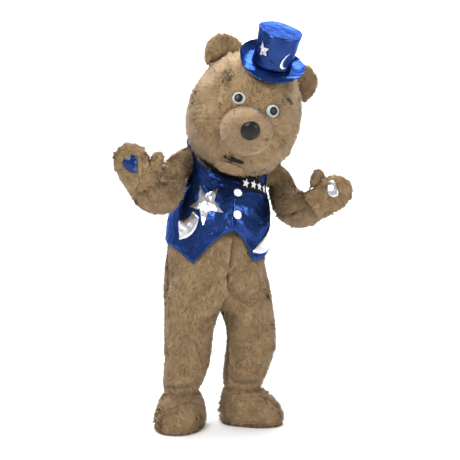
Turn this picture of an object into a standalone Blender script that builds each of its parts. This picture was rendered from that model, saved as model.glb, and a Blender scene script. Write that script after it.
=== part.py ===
# Bear mascot costume, worn stance with nobody inside
# Metres, +Z up, the viewer stands on the -Y side, origin between the shoulders
import math
import bpy
import numpy as np
from mathutils import Vector
from mathutils.bvhtree import BVHTree

# Sizes that drive the form
FLOOR = -1.365
SEAM_GAP = 0.00015
PLUSH_WALL = 0.012
HEAD_WALL = 0.022
SATIN_WALL = 0.002
COVER_WALL = 0.0015
WAIST_TURN = math.radians(19.0)
CHEST_TURN = math.radians(12.0)
SHOULDER_TILT = -0.16
HEAD_MIDDLE = np.array((0.129, -0.10, 0.178))
HEAD_ROLL = math.radians(20.0)
HEAD_YAW = math.radians(8.0)
HEAD_HALF = (0.293, 0.272, 0.303)
NECK_HOLE_ANGLE = math.radians(36.0)
NECK_HOLE_AXIS = np.array((0.0, 0.41, -0.912))
NECKLINE_CLEAR = 0.016
NECKLINE_DROP = 0.014
VEST_OUT = 0.0112

# Torso sections: height, middle x, middle y, half width, half depth
TORSO = (
    (-0.420, -0.008, 0.005, 0.246, 0.243),
    (-0.340, -0.002, 0.005, 0.248, 0.243),
    (-0.260, 0.010, 0.013, 0.227, 0.227),
    (-0.180, 0.032, 0.030, 0.190, 0.193),
    (-0.110, 0.047, 0.048, 0.185, 0.176),
    (-0.050, 0.056, 0.068, 0.198, 0.156),
    (-0.005, 0.060, 0.082, 0.220, 0.138),
    (0.022, 0.060, 0.090, 0.212, 0.118),
    (0.038, 0.058, 0.096, 0.172, 0.103),
    (0.045, 0.055, 0.100, 0.110, 0.088),
)

# Waistcoat sections carry on below the waist: height, middle x, middle y, half width, half depth
VEST_LOW = (
    (-0.600, -0.020, 0.000, 0.262, 0.243),
    (-0.540, -0.018, 0.002, 0.256, 0.246),
    (-0.480, -0.012, 0.004, 0.251, 0.246),
)

# Leg sections: height, middle x, middle y, half width, half depth, turn in degrees
LEG_LEFT = (
    (-1.196, -0.186, -0.040, 0.080, 0.092, 0.0),
    (-1.165, -0.184, -0.040, 0.096, 0.108, 2.0),
    (-1.120, -0.172, -0.036, 0.107, 0.120, 6.0),
    (-1.050, -0.153, -0.035, 0.115, 0.131, 10.0),
    (-0.960, -0.153, -0.035, 0.120, 0.138, 14.0),
    (-0.870, -0.147, -0.036, 0.127, 0.150, 18.0),
    (-0.790, -0.132, -0.036, 0.1394, 0.170, 19.0),
    (-0.730, -0.117, -0.029, 0.160, 0.185, 19.0),
    (-0.660, -0.095, -0.023, 0.180, 0.203, 19.0),
    (-0.580, -0.067, -0.016, 0.200, 0.222, 19.0),
    (-0.500, -0.037, -0.0065, 0.222, 0.238, 19.0),
    (-0.420, -0.008, 0.005, 0.246, 0.243, 19.0),
)
LEG_RIGHT = (
    (-1.196, 0.118, 0.050, 0.084, 0.096, 44.0),
    (-1.165, 0.120, 0.050, 0.101, 0.110, 42.0),
    (-1.120, 0.131, 0.050, 0.113, 0.124, 38.0),
    (-1.050, 0.148, 0.050, 0.123, 0.134, 32.0),
    (-0.960, 0.163, 0.050, 0.126, 0.140, 26.0),
    (-0.870, 0.157, 0.052, 0.128, 0.150, 20.0),
    (-0.790, 0.132, 0.055, 0.1394, 0.170, 19.0),
    (-0.730, 0.101, 0.046, 0.164, 0.185, 19.0),
    (-0.660, 0.066, 0.033, 0.187, 0.203, 19.0),
    (-0.580, 0.027, 0.016, 0.202, 0.222, 19.0),
    (-0.500, 0.001, 0.0065, 0.224, 0.238, 19.0),
    (-0.420, -0.008, 0.005, 0.246, 0.243, 19.0),
)

# Largest leg folds: side, start angle, start height, end angle, end height, depth, half width
LEG_FOLDS = (
    (-1, 30.0, -0.60, 42.0, -0.86, 0.010, 0.030),
    (-1, 12.0, -0.56, 22.0, -0.74, 0.009, 0.026),
    (-1, 60.0, -1.02, 110.0, -0.98, 0.007, 0.026),
    (-1, 40.0, -1.13, 120.0, -1.10, 0.008, 0.022),
    (-1, 250.0, -1.05, 300.0, -1.00, 0.008, 0.028),
    (-1, 240.0, -0.88, 300.0, -0.78, 0.009, 0.032),
    (1, 140.0, -0.80, 50.0, -0.90, 0.013, 0.032),
    (1, 60.0, -0.66, 78.0, -0.78, 0.008, 0.028),
    (1, 100.0, -1.07, 40.0, -1.12, 0.010, 0.024),
    (1, 130.0, -1.01, 70.0, -1.03, 0.006, 0.024),
    (1, 250.0, -1.08, 310.0, -1.02, 0.008, 0.028),
    (1, 240.0, -0.80, 310.0, -0.88, 0.009, 0.032),
)

# Waistcoat folds: start angle, start height, end angle, end height, depth, half width
VEST_FOLDS = (
    (84.0, -0.30, 40.0, -0.40, 0.005, 0.022),
    (78.0, -0.22, 38.0, -0.30, 0.005, 0.020),
    (86.0, -0.38, 50.0, -0.47, 0.004, 0.022),
    (172.0, -0.40, 128.0, -0.43, 0.004, 0.020),
    (230.0, -0.30, 310.0, -0.33, 0.005, 0.026),
    (215.0, -0.42, 300.0, -0.46, 0.005, 0.026),
)

# Waistcoat hem height round the body: angle, height
VEST_HEM = (
    (-90.0, -0.470), (-40.0, -0.472), (0.0, -0.482), (30.0, -0.500), (45.0, -0.526),
    (60.0, -0.543), (67.5, -0.535), (75.0, -0.455), (82.5, -0.415), (90.0, -0.394),
    (97.5, -0.402), (105.0, -0.420), (112.5, -0.447), (120.0, -0.492), (127.5, -0.535),
    (132.0, -0.553), (140.0, -0.523), (152.0, -0.488), (168.0, -0.472), (190.0, -0.440),
    (220.0, -0.455), (270.0, -0.470),
)

# Sleeve sections: x, y, z, half across, half deep
SLEEVE_LEFT = (
    (-0.176, -0.022, -0.048, 0.074, 0.076),
    (-0.212, -0.062, -0.100, 0.075, 0.071),
    (-0.233, -0.120, -0.160, 0.080, 0.080),
    (-0.254, -0.186, -0.212, 0.090, 0.089),
    (-0.276, -0.240, -0.234, 0.097, 0.093),
    (-0.310, -0.296, -0.222, 0.094, 0.090),
    (-0.336, -0.334, -0.188, 0.080, 0.078),
)
SLEEVE_RIGHT = (
    (0.283, 0.126, -0.095, 0.074, 0.070),
    (0.311, 0.128, -0.145, 0.076, 0.069),
    (0.322, 0.112, -0.212, 0.085, 0.080),
    (0.347, 0.074, -0.272, 0.095, 0.092),
    (0.388, 0.018, -0.298, 0.099, 0.095),
    (0.430, -0.030, -0.294, 0.094, 0.092),
    (0.464, -0.064, -0.276, 0.080, 0.078),
)
MITT_WAY_LEFT = (-0.45, -0.20, 0.87)
MITT_WAY_RIGHT = (0.80, -0.30, 0.52)

ARMHOLE = {"middle": 4.58, "reach_front": 13.0, "reach_back": 27.0, "reach_row": 1.32}
VEST_ARMHOLE = {"middle": 4.67, "reach_front": 16.0, "reach_back": 32.0, "reach_row": 1.80}
ARM_COLLAR = 0.019

# Share of the way along the neckline from the middle seam to the shoulder, for each grid row
NECK_FRONT_STEPS = (0.0, 0.25, 0.48, 0.66, 0.80, 0.90, 1.0)
NECK_BACK_STEPS = (0.0, 0.2, 0.4, 0.6, 0.8, 1.0)

# Head bulges: side angle, lift angle, spread in degrees, height
HEAD_BULGES = (
    (-52.0, -30.0, 26.0, 0.014), (52.0, -30.0, 26.0, 0.014),
    (-17.0, 21.0, 12.0, 0.013), (17.0, 21.0, 12.0, 0.013),
    (-16.0, 2.0, 9.0, -0.004), (16.0, 2.0, 9.0, -0.004),
    (0.0, 22.0, 6.0, -0.005), (0.0, 48.0, 26.0, 0.006),
    (180.0, 10.0, 40.0, 0.008),
)


def smooth_rows(table, at):
    """All columns of a table at a fractional row number, along a smooth curve."""
    rows = np.array(table, dtype=float)
    last = len(rows) - 1
    at = min(max(at, 0.0), float(last))
    low = min(int(at), last - 1)
    part = at - low
    slope_a = (rows[low + 1] - rows[max(low - 1, 0)]) / (2.0 if low > 0 else 1.0)
    slope_b = (rows[min(low + 2, last)] - rows[low]) / (2.0 if low + 2 <= last else 1.0)
    p2 = part * part
    p3 = p2 * part
    return ((2 * p3 - 3 * p2 + 1) * rows[low] + (p3 - 2 * p2 + part) * slope_a
            + (3 * p2 - 2 * p3) * rows[low + 1] + (p3 - p2) * slope_b)


def row_at(table, value):
    """Fractional row number at which the first column has this value."""
    low, high = 0.0, float(len(table) - 1)
    for _ in range(40):
        middle = 0.5 * (low + high)
        if smooth_rows(table, middle)[0] < value:
            low = middle
        else:
            high = middle
    return 0.5 * (low + high)


def unit(vector):
    """The vector at length one."""
    vector = np.array(vector, dtype=float)
    return vector / max(np.linalg.norm(vector), 1e-12)


def turned(x, y, turn):
    """A plan position turned about the upright axis."""
    return (x * math.cos(turn) - y * math.sin(turn), x * math.sin(turn) + y * math.cos(turn))


def lerp(a, b, part):
    """Straight blend from a to b."""
    return a + (b - a) * part


def fold_depth(folds, x, z, scale):
    """Soft trough depth at an angle and height, from a table of fold lines."""
    total = 0.0
    for start_a, start_z, end_a, end_z, depth, width in folds:
        x = (x - start_a + 180.0) % 360.0 - 180.0 + start_a
        a = np.array((math.radians(start_a) * scale, start_z))
        b = np.array((math.radians(end_a) * scale, end_z))
        here = np.array((math.radians(x) * scale, z))
        along = np.dot(here - a, b - a) / np.dot(b - a, b - a)
        inside = min(max(along, 0.0), 1.0)
        away = np.linalg.norm(here - (a + (b - a) * inside))
        fade = math.sin(math.pi * min(max(0.08 + 0.84 * along, 0.0), 1.0)) ** 0.6
        total += depth * math.exp(-(away / width) ** 2) * (0.35 + 0.65 * fade)
    return total


def torso_point(angle, row):
    """Suit body above the waist: 0 is the image right, 90 the front."""
    z, x0, y0, half_w, half_d = smooth_rows(TORSO, row)
    turn = math.radians(angle)
    c, s = math.cos(turn), math.sin(turn)
    power = 2.0 / (2.0 + 0.25 * min(max(row / 3.0, 0.0), 1.0))
    side = half_w * math.copysign(abs(c) ** power, c)
    deep = -half_d * math.copysign(abs(s) ** power, s)
    x, y = turned(side, deep, lerp(WAIST_TURN, CHEST_TURN, min(max(row / 4.0, 0.0), 1.0)))
    lift = min(max((z + 0.42) / 0.42, 0.0), 1.1) ** 1.5
    return np.array((x0 + x, y0 + y, z + SHOULDER_TILT * lift * side))


def surface_normal(form, a, b, step_a, step_b):
    """Outward direction of a form by small steps along its two measures."""
    da = form(a + step_a, b) - form(a - step_a, b)
    db = form(a, b + step_b) - form(a, b - step_b)
    return unit(np.cross(db, da))


def under_vest(angle, row):
    """Body form under the waistcoat: row 0 is the waist, negative rows lie below it."""
    if row >= 0.0:
        return torso_point(angle, row)
    z, x0, y0, half_w, half_d = smooth_rows(VEST_LOW + TORSO, row + len(VEST_LOW))
    turn = math.radians(angle)
    x, y = turned(half_w * math.cos(turn), -half_d * math.sin(turn), WAIST_TURN)
    return np.array((x0 + x, y0 + y, z))


def lifted(form, angle, row, out):
    """A place on a form moved straight out from it."""
    return form(angle, row) + surface_normal(form, angle, row, 1.0, 0.03) * out


def vest_point(angle, row, extra=0.0):
    """Outer face of the waistcoat cloth with its largest folds."""
    base = under_vest(angle, row)
    trough = fold_depth(VEST_FOLDS, angle, base[2], 0.24) if base[2] < -0.14 else 0.0
    slack = 0.005 * math.exp(-((base[2] + 0.43) / 0.13) ** 2)
    return lifted(under_vest, angle, row, VEST_OUT + slack - 0.8 * trough + extra)


def hem_row(angle):
    """Row of the waistcoat hem at an angle."""
    if angle < -90.0:
        angle += 360.0
    columns = np.array(VEST_HEM)
    z = float(np.interp(angle, columns[:, 0], columns[:, 1]))
    return row_at(VEST_LOW + TORSO, z) - len(VEST_LOW)


def leg_point(side, angle, row, folded=True):
    """Leg of the suit: 0 is the outside seam, 90 the front, 180 the inside seam."""
    table = LEG_LEFT if side < 0 else LEG_RIGHT
    z, x0, y0, half_w, half_d, turn = smooth_rows(table, row)
    theta = math.radians(angle)
    trough = 0.0
    if folded and z < -0.50:
        own = [fold[1:] for fold in LEG_FOLDS if fold[0] == side]
        trough = fold_depth(own, angle % 360.0, z, 0.13)
    out = side * (half_w - trough) * math.cos(theta)
    deep = -(half_d - trough) * math.sin(theta)
    x, y = turned(out, deep, math.radians(turn))
    return np.array((x0 + x, y0 + y, z))


def rise_angle(side, row):
    """Angle at which a leg section meets the middle of the body."""
    table = LEG_LEFT if side < 0 else LEG_RIGHT
    z, x0, y0, half_w, half_d, turn = smooth_rows(table, row)
    if row <= 6.0:
        return 180.0
    mid = smooth_rows(AXIS, row_at(AXIS, z))
    off = (x0 - mid[1]) * math.cos(WAIST_TURN) + (y0 - mid[2]) * math.sin(WAIST_TURN)
    return math.degrees(math.acos(min(max(-abs(off) / half_w, -1.0), 1.0)))


# Middle line of the body between the crotch and the waist: height, x, y
AXIS = tuple((left[0], 0.5 * (left[1] + right[1]), 0.5 * (left[2] + right[2]))
             for left, right in zip(LEG_LEFT, LEG_RIGHT))


def head_turn(vector):
    """Head directions to world directions."""
    x, y = turned(vector[0], vector[1], HEAD_YAW)
    z = vector[2]
    c, s = math.cos(HEAD_ROLL), math.sin(HEAD_ROLL)
    return np.array((x * c + z * s, y, -x * s + z * c))


def head_unturn(vector):
    """World directions to head directions."""
    c, s = math.cos(HEAD_ROLL), math.sin(HEAD_ROLL)
    x = vector[0] * c - vector[2] * s
    z = vector[0] * s + vector[2] * c
    back = turned(x, vector[1], -HEAD_YAW)
    return np.array((back[0], back[1], z))


def facing(side_angle, lift_angle):
    """Head direction from a side angle and a lift angle in degrees."""
    a, b = math.radians(side_angle), math.radians(lift_angle)
    return np.array((math.sin(a) * math.cos(b), -math.cos(a) * math.cos(b), math.sin(b)))


BULGE_ROWS = [(facing(a, b), math.radians(c), d) for a, b, c, d in HEAD_BULGES]


def head_reach(direction):
    """Distance from the head's middle to its fur along a head direction."""
    d = unit(direction)
    power = 2.12
    total = sum((abs(d[i]) / HEAD_HALF[i]) ** power for i in range(3))
    reach = total ** (-1.0 / power)
    for toward, spread, height in BULGE_ROWS:
        off = math.acos(min(max(float(np.dot(d, toward)), -1.0), 1.0))
        reach += height * math.exp(-(off / spread) ** 2)
    return reach


def head_point(direction, out=0.0):
    """World point on the head's fur."""
    return HEAD_MIDDLE + head_turn(unit(direction)) * (head_reach(direction) + out)


def drop_to_head(point, axis, out):
    """Where a line through the point along the axis leaves the head."""
    low, high = -0.25, 0.25
    for _ in range(40):
        middle = 0.5 * (low + high)
        away = point + axis * middle - HEAD_MIDDLE
        if np.linalg.norm(away) < head_reach(head_unturn(away)) + out:
            low = middle
        else:
            high = middle
    return point + axis * 0.5 * (low + high)


def coons(bottom, top, left, right, u, v):
    """Blend of four edge curves at a place inside them."""
    return ((1 - v) * bottom(u) + v * top(u) + (1 - u) * left(v) + u * right(v)
            - (1 - u) * (1 - v) * bottom(0.0) - u * (1 - v) * bottom(1.0)
            - (1 - u) * v * top(0.0) - u * v * top(1.0))


MATERIALS = {}


def material(name, colour, roughness, metallic=0.0):
    """A plain Principled material, made once."""
    if name not in MATERIALS:
        made = bpy.data.materials.new(name)
        made.use_nodes = True
        shader = made.node_tree.nodes["Principled BSDF"]
        shader.inputs["Base Color"].default_value = (*colour, 1.0)
        shader.inputs["Roughness"].default_value = roughness
        shader.inputs["Metallic"].default_value = metallic
        made.diffuse_color = (*colour, 1.0)
        MATERIALS[name] = made
    return MATERIALS[name]


PLUSH = material("plush_brown", (0.33, 0.21, 0.12), 0.9)
SHORT_PLUSH = material("plush_muzzle", (0.40, 0.27, 0.17), 0.85)
SATIN = material("satin_blue", (0.02, 0.07, 0.42), 0.28, 0.35)
SILVER = material("lame_silver", (0.72, 0.73, 0.75), 0.3, 0.8)
BLACK_CLOTH = material("cloth_black", (0.012, 0.012, 0.014), 0.9)
BLACK_GLOSS = material("nose_black", (0.01, 0.01, 0.01), 0.3)
EYE_WHITE = material("eye_white", (0.62, 0.66, 0.62), 0.4)
BUTTON_WHITE = material("button_white", (0.85, 0.85, 0.86), 0.35)
SOLE = material("sole_brown", (0.16, 0.10, 0.06), 0.9)


def three_sided(points, face):
    """Triangles of a face, a four-sided one cut along its shorter diagonal."""
    if len(face) == 4:
        a, b, c, d = face
        if np.linalg.norm(points[a] - points[c]) > np.linalg.norm(points[b] - points[d]):
            face = (b, c, d, a)
    return [(face[0], face[k], face[k + 1]) for k in range(1, len(face) - 1)]


def add_solid(name, points, faces, look):
    """One closed body with its faces turned outward."""
    points = np.array(points, dtype=float)
    faces = [corner for face in faces for corner in three_sided(points, face)]
    volume = 0.0
    for a, b, c in faces:
        volume += float(np.dot(points[a], np.cross(points[b], points[c])))
    if volume < 0:
        faces = [tuple(reversed(face)) for face in faces]
    mesh = bpy.data.meshes.new(name)
    mesh.from_pydata([tuple(p) for p in points], [], faces)
    mesh.materials.append(look)
    mesh.update()
    made = bpy.data.objects.new(name, mesh)
    bpy.context.scene.collection.objects.link(made)
    return made


def pull_edges(grid, gap, ends=(True, True, True, True)):
    """Move the border of a grid of points inward by the seam gap."""
    moved = grid.copy()
    start_row, end_row, start_col, end_col = ends
    if start_row:
        moved[0] += gap * np.array([unit(v) for v in grid[1] - grid[0]])
    if end_row:
        moved[-1] += gap * np.array([unit(v) for v in grid[-2] - grid[-1]])
    if start_col:
        moved[:, 0] += gap * np.array([unit(v) for v in grid[:, 1] - grid[:, 0]])
    if end_col:
        moved[:, -1] += gap * np.array([unit(v) for v in grid[:, -2] - grid[:, -1]])
    return moved


def wall_from_grids(name, outer, inner, look, wrap=False):
    """Closed cloth wall between an outer and an inner grid of points."""
    rows, cols = outer.shape[:2]
    points = np.concatenate((outer.reshape(-1, 3), inner.reshape(-1, 3)))
    half = rows * cols
    faces = []
    across = cols if wrap else cols - 1
    for i in range(rows - 1):
        for j in range(across):
            a, b = i * cols + j, i * cols + (j + 1) % cols
            c, d = b + cols, a + cols
            faces.append((a, b, c, d))
            faces.append((half + d, half + c, half + b, half + a))
    for j in range(across):
        a, b = j, (j + 1) % cols
        faces += [(b, a, half + b), (a, half + a, half + b)]
        a, b = (rows - 1) * cols + j, (rows - 1) * cols + (j + 1) % cols
        faces += [(a, b, half + b), (a, half + b, half + a)]
    if not wrap:
        for i in range(rows - 1):
            a, d = i * cols, (i + 1) * cols
            faces += [(a, d, half + d), (a, half + d, half + a)]
            a, d = i * cols + cols - 1, (i + 1) * cols + cols - 1
            faces += [(d, a, half + d), (a, half + a, half + d)]
    return add_solid(name, points, faces, look)


def ring_grid(rings):
    """Stack of rings as one array."""
    return np.array([[np.array(p, dtype=float) for p in ring] for ring in rings])


def grid_normals(grid, wrap, outside_of=None):
    """Outward directions of a grid of points."""
    rows, cols = grid.shape[:2]
    out = np.zeros_like(grid)
    for i in range(rows):
        for j in range(cols):
            up = grid[min(i + 1, rows - 1), j] - grid[max(i - 1, 0), j]
            if wrap:
                over = grid[i, (j + 1) % cols] - grid[i, j - 1]
            else:
                over = grid[i, min(j + 1, cols - 1)] - grid[i, max(j - 1, 0)]
            out[i, j] = unit(np.cross(over, up))
    middle = grid.mean(axis=(0, 1)) if outside_of is None else outside_of
    if np.sum(out * (grid - middle)) < 0:
        out = -out
    return out


def dome(name, outer_rings, tip, inner_rings, inner_tip, look):
    """Cup with a closed tip: rings from its open edge, then one tip point."""
    rings, cols = outer_rings.shape[:2]
    points = list(outer_rings.reshape(-1, 3)) + [tip]
    start = len(points)
    points += list(inner_rings.reshape(-1, 3)) + [inner_tip]
    tip_at, inner_at = start - 1, len(points) - 1
    faces = []
    for i in range(rings - 1):
        for j in range(cols):
            a, b = i * cols + j, i * cols + (j + 1) % cols
            faces.append((a, b, b + cols, a + cols))
            faces.append((start + a + cols, start + b + cols, start + b, start + a))
    last = (rings - 1) * cols
    for j in range(cols):
        a, b = last + j, last + (j + 1) % cols
        faces.append((a, b, tip_at))
        faces.append((start + b, start + a, inner_at))
        a, b = j, (j + 1) % cols
        faces.append((b, a, start + a, start + b))
    return add_solid(name, points, faces, look)


def closed_lump(name, rings, front_tip, back_tip, look):
    """Solid lump: rings from back to front with a point at each end."""
    count, cols = rings.shape[:2]
    points = list(rings.reshape(-1, 3)) + [front_tip, back_tip]
    front_at, back_at = count * cols, count * cols + 1
    faces = []
    for i in range(count - 1):
        for j in range(cols):
            a, b = i * cols + j, i * cols + (j + 1) % cols
            faces.append((a, b, b + cols, a + cols))
    for j in range(cols):
        a, b = (count - 1) * cols + j, (count - 1) * cols + (j + 1) % cols
        faces.append((a, b, front_at))
        faces.append(((j + 1) % cols, j, back_at))
    return add_solid(name, points, faces, look)


def fur_gap(point):
    """Distance from a place to the head's fur."""
    away = point - HEAD_MIDDLE
    return np.linalg.norm(away) - head_reach(head_unturn(away))


def neckline_row(angle, tuck=0.0):
    """Torso row at which the cloth comes near the head, never above the shoulder."""
    clear = NECKLINE_CLEAR + NECKLINE_DROP * math.sin(math.radians(angle)) ** 2 + tuck
    low, high = 2.0, 8.4
    for _ in range(30):
        middle = 0.5 * (low + high)
        if fur_gap(torso_point(angle, middle)) > clear:
            low = middle
        else:
            high = middle
    return 0.5 * (low + high)


def bodice_panel(name, side_angle, middle_angle, form, wall, look, bottom_row, armhole,
                 tuck=0.0, low_row=None, cols=7, rows=11, gap=SEAM_GAP):
    """Front or back panel between side seam, armhole, shoulder, neckline and middle."""
    way = 1.0 if middle_angle > side_angle else -1.0
    under = armhole["middle"] - armhole["reach_row"]
    over = armhole["middle"] + armhole["reach_row"]
    neck_side = neckline_row(side_angle, tuck)
    neck_mid = neckline_row(middle_angle, tuck)
    steps = NECK_FRONT_STEPS if middle_angle == 90.0 else NECK_BACK_STEPS
    stops = len(steps) - 1
    knee = 1.0 - stops / 8.0
    split = 3.0 / 11.0
    reach = armhole["reach_front" if middle_angle == 90.0 else "reach_back"]

    def low_at(angle):
        return bottom_row if low_row is None else low_row(angle)

    def bottom(u):
        angle = lerp(side_angle, middle_angle, u)
        return np.array((angle, low_at(angle)))

    def left(v):
        if v < split:
            return np.array((side_angle, lerp(low_at(side_angle), under, v / split)))
        turn = math.pi * (v - split) / (1 - split)
        return np.array((side_angle + way * reach * math.sin(turn),
                         armhole["middle"] - armhole["reach_row"] * math.cos(turn)))

    def right(v):
        start = low_at(middle_angle)
        if v < split:
            return np.array((middle_angle, lerp(start, min(under, neck_mid - 0.1), v / split)))
        part = (v - split) / (1 - split)
        if part < knee:
            return np.array((middle_angle, lerp(min(under, neck_mid - 0.1), neck_mid, part / knee)))
        share = float(np.interp(stops * (part - knee) / (1 - knee), range(stops + 1), steps))
        angle = lerp(middle_angle, side_angle, share)
        return np.array((angle, neckline_row(angle, tuck)))

    def top(u):
        return np.array((side_angle, lerp(over, neck_side, u)))

    outer = np.zeros((rows + 1, cols + 1, 3))
    inner = np.zeros_like(outer)
    for i in range(rows + 1):
        for j in range(cols + 1):
            u = j / cols
            if i > 4 and j < cols:
                u -= 0.05 * max(2 * u - 1, 0.0)
            angle, row = coons(bottom, top, left, right, u, i / rows)
            if i > 3 and 0 < j < cols:
                row = min(row, neckline_row(angle, tuck) - 0.2)
            outer[i, j] = form(angle, row)
            normal = surface_normal(form, angle, max(row, bottom_row + 0.03), 0.5, 0.02)
            if i == 0:
                normal = unit((normal[0], normal[1], 0.0))
            inner[i, j] = outer[i, j] - normal * wall
    return wall_from_grids(name, pull_edges(outer, gap), pull_edges(inner, gap), look)


def leg_panel(name, side, face, cols=7, rows=14):
    """Front or back half of a leg, from its hem to the waist."""
    outer = np.zeros((rows + 1, cols + 1, 3))
    inner = np.zeros_like(outer)
    last = len(LEG_LEFT) - 1

    def form(angle, row):
        return leg_point(side, angle, row)

    for i in range(rows + 1):
        row = last * i / rows
        reach = rise_angle(side, row)
        for j in range(cols + 1):
            angle = face * reach * j / cols
            outer[i, j] = form(angle, row)
            shown = min(max(row, 0.02), last - 0.02)
            normal = surface_normal(form, angle, shown, 1.0, 0.02) * side
            if i == 0 or i == rows:
                normal = unit((normal[0], normal[1], 0.0))
            inner[i, j] = outer[i, j] - normal * PLUSH_WALL
    return wall_from_grids(name, pull_edges(outer, SEAM_GAP), pull_edges(inner, SEAM_GAP), PLUSH)


def armhole_ring(side_angle, count):
    """Outer and inner edge of the suit's armhole, from the underarm round the front."""
    outer, inner = [], []
    for k in range(count):
        turn = 2 * math.pi * k / count
        way = 1.0 if side_angle < 90.0 else -1.0
        reach = ARMHOLE["reach_front" if turn < math.pi else "reach_back"]
        angle = side_angle + way * reach * math.sin(turn)
        row = ARMHOLE["middle"] - ARMHOLE["reach_row"] * math.cos(turn)
        outer.append(torso_point(angle, row))
        normal = surface_normal(torso_point, angle, row, 0.5, 0.02)
        inner.append(outer[-1] - normal * PLUSH_WALL)
    return np.array(outer), np.array(inner)


def sleeve_rings(table, side, count, steps, end_way):
    """Sleeve from the armhole to the cuff: matching outer and inner rings."""
    side_angle = 180.0 if side < 0 else 0.0
    hole_outer, hole_inner = armhole_ring(side_angle, count)
    middle = hole_outer.mean(axis=0)
    outward = np.array([unit(o - i) for o, i in zip(hole_outer, hole_inner)])
    toward = np.array([unit((middle - p) - n * np.dot(middle - p, n))
                       for p, n in zip(hole_outer, outward)])
    collar = hole_outer + outward * ARM_COLLAR + toward * 0.0014
    outer = [hole_outer + toward * 0.0005, collar]
    inner = [hole_inner + toward * 0.0005, collar + toward * PLUSH_WALL]
    last = len(table) - 1
    up_from = unit(hole_outer[count // 2] - hole_outer[0])
    start_way = np.array((*turned(side, 0.0, CHEST_TURN), 0.0))
    places = [smooth_rows(table, last * i / steps) for i in range(steps + 1)]
    ways = [None, None]
    for i, (x, y, z, half_a, half_b) in enumerate(places):
        here = np.array((x, y, z))
        ahead = np.array(places[min(i + 1, steps)][:3]) - np.array(places[max(i - 1, 0)][:3])
        turn_in = min(i / 1.6, 1.0)
        along = unit(lerp(start_way, unit(ahead), turn_in))
        if i >= steps - 1:
            along = unit(lerp(along, unit(end_way), 0.5 * (i - steps + 2)))
        under = unit(-up_from - along * np.dot(-up_from, along))
        up_from = -under
        across = np.cross(under, along) * side
        ring_out, ring_in = [], []
        for k in range(count):
            turn = 2 * math.pi * k / count
            spoke = under * math.cos(turn) * half_b + across * math.sin(turn) * half_a
            ring_out.append(here + spoke)
            ring_in.append(-unit(spoke) * PLUSH_WALL)
        ring_out, ring_in = np.array(ring_out), np.array(ring_in)
        if i > 0:
            outer.append(ring_out)
            inner.append(ring_in)
            ways.append(along)
    outer, inner = np.array(outer), np.array(inner)
    for i in range(len(outer) - 2, 1, -1):
        for k in range(count):
            ahead = float(np.dot(outer[i + 1, k] - outer[i, k], ways[i + 1]))
            if ahead < 0.009:
                outer[i, k] -= ways[i + 1] * (0.009 - ahead)
    inner[2:] += outer[2:]
    return outer, inner


def pressed_clear(outer, inner, tree, gap):
    """Sleeve rings pressed in where they would come nearer the body than the gap."""
    for i in range(2, len(outer)):
        for k in range(outer.shape[1]):
            near, normal, _, _ = tree.find_nearest(Vector(outer[i, k]))
            away = np.array(normal)
            depth = float(np.dot(outer[i, k] - np.array(near), away))
            if depth < gap:
                outer[i, k] += away * (gap - depth)
                inner[i, k] += away * (gap - depth)


def split_tube(names, outer, inner, look, gap=SEAM_GAP):
    """A tube cut along two seams into two pieces."""
    count = outer.shape[1]
    half = count // 2
    for name, way in zip(names, (1, -1)):
        picks = [(way * k) % count for k in range(half + 1)]
        wall_from_grids(name, pull_edges(outer[:, picks], gap, (False, True, True, True)),
                        pull_edges(inner[:, picks], gap, (False, True, True, True)), look)


def half_disc_direction(s, t):
    """Even spread of a half dome over a rounded square."""
    x = s * math.sqrt(1 - 0.5 * t * t)
    y = t * math.sqrt(1 - 0.5 * s * s)
    r = math.hypot(x, y)
    swing = r * math.pi / 2
    grow = math.sin(swing) / r if r > 1e-9 else math.pi / 2
    return np.array((grow * x, grow * y, math.cos(swing)))


def mitt_half(name, cuff, tip_way, across, palm_way, sizes, face, cols=8):
    """Palm or back of a mitt: a tube from the cuff that closes in a rounded tip."""
    cuff_a, cuff_b, half_a, half_b, straight, cap = sizes
    grid_out, grid_in = [], []
    for i in range(4):
        part = i / 4.0
        ease = part * part * (3 - 2 * part)
        a, b = lerp(cuff_a, half_a, ease), lerp(cuff_b, half_b, ease)
        middle = cuff + tip_way * straight * part
        row_o, row_i = [], []
        for j in range(cols + 1):
            turn = math.pi / 2 * (2 * j / cols - 1)
            spoke = across * math.sin(turn) * a + palm_way * face * math.cos(turn) * b
            row_o.append(middle + spoke)
            row_i.append(middle + spoke - unit(spoke) * PLUSH_WALL)
        grid_out.append(row_o)
        grid_in.append(row_i)
    middle = cuff + tip_way * straight
    for i in range(6):
        row_o, row_i = [], []
        for j in range(cols + 1):
            d = half_disc_direction(2 * j / cols - 1, i / 5.0)
            spoke = across * d[0] * half_a + tip_way * d[1] * cap + palm_way * face * d[2] * half_b
            lean = across * d[0] / half_a + tip_way * d[1] / cap + palm_way * face * d[2] / half_b
            row_o.append(middle + spoke)
            row_i.append(middle + spoke - unit(lean) * PLUSH_WALL)
        grid_out.append(row_o)
        grid_in.append(row_i)
    outer, inner = (np.array(g) + palm_way * face * 0.0002 for g in (grid_out, grid_in))
    return wall_from_grids(name, pull_edges(outer, SEAM_GAP), pull_edges(inner, SEAM_GAP), PLUSH)


# Pieces that stand on others are dropped onto their real faces
def faces_of(*objects):
    """One search tree over the faces of several solids."""
    points, faces = [], []
    for made in objects:
        start = len(points)
        points += [vertex.co.copy() for vertex in made.data.vertices]
        faces += [tuple(start + k for k in face.vertices) for face in made.data.polygons]
    return BVHTree.FromPolygons(points, faces)


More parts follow.
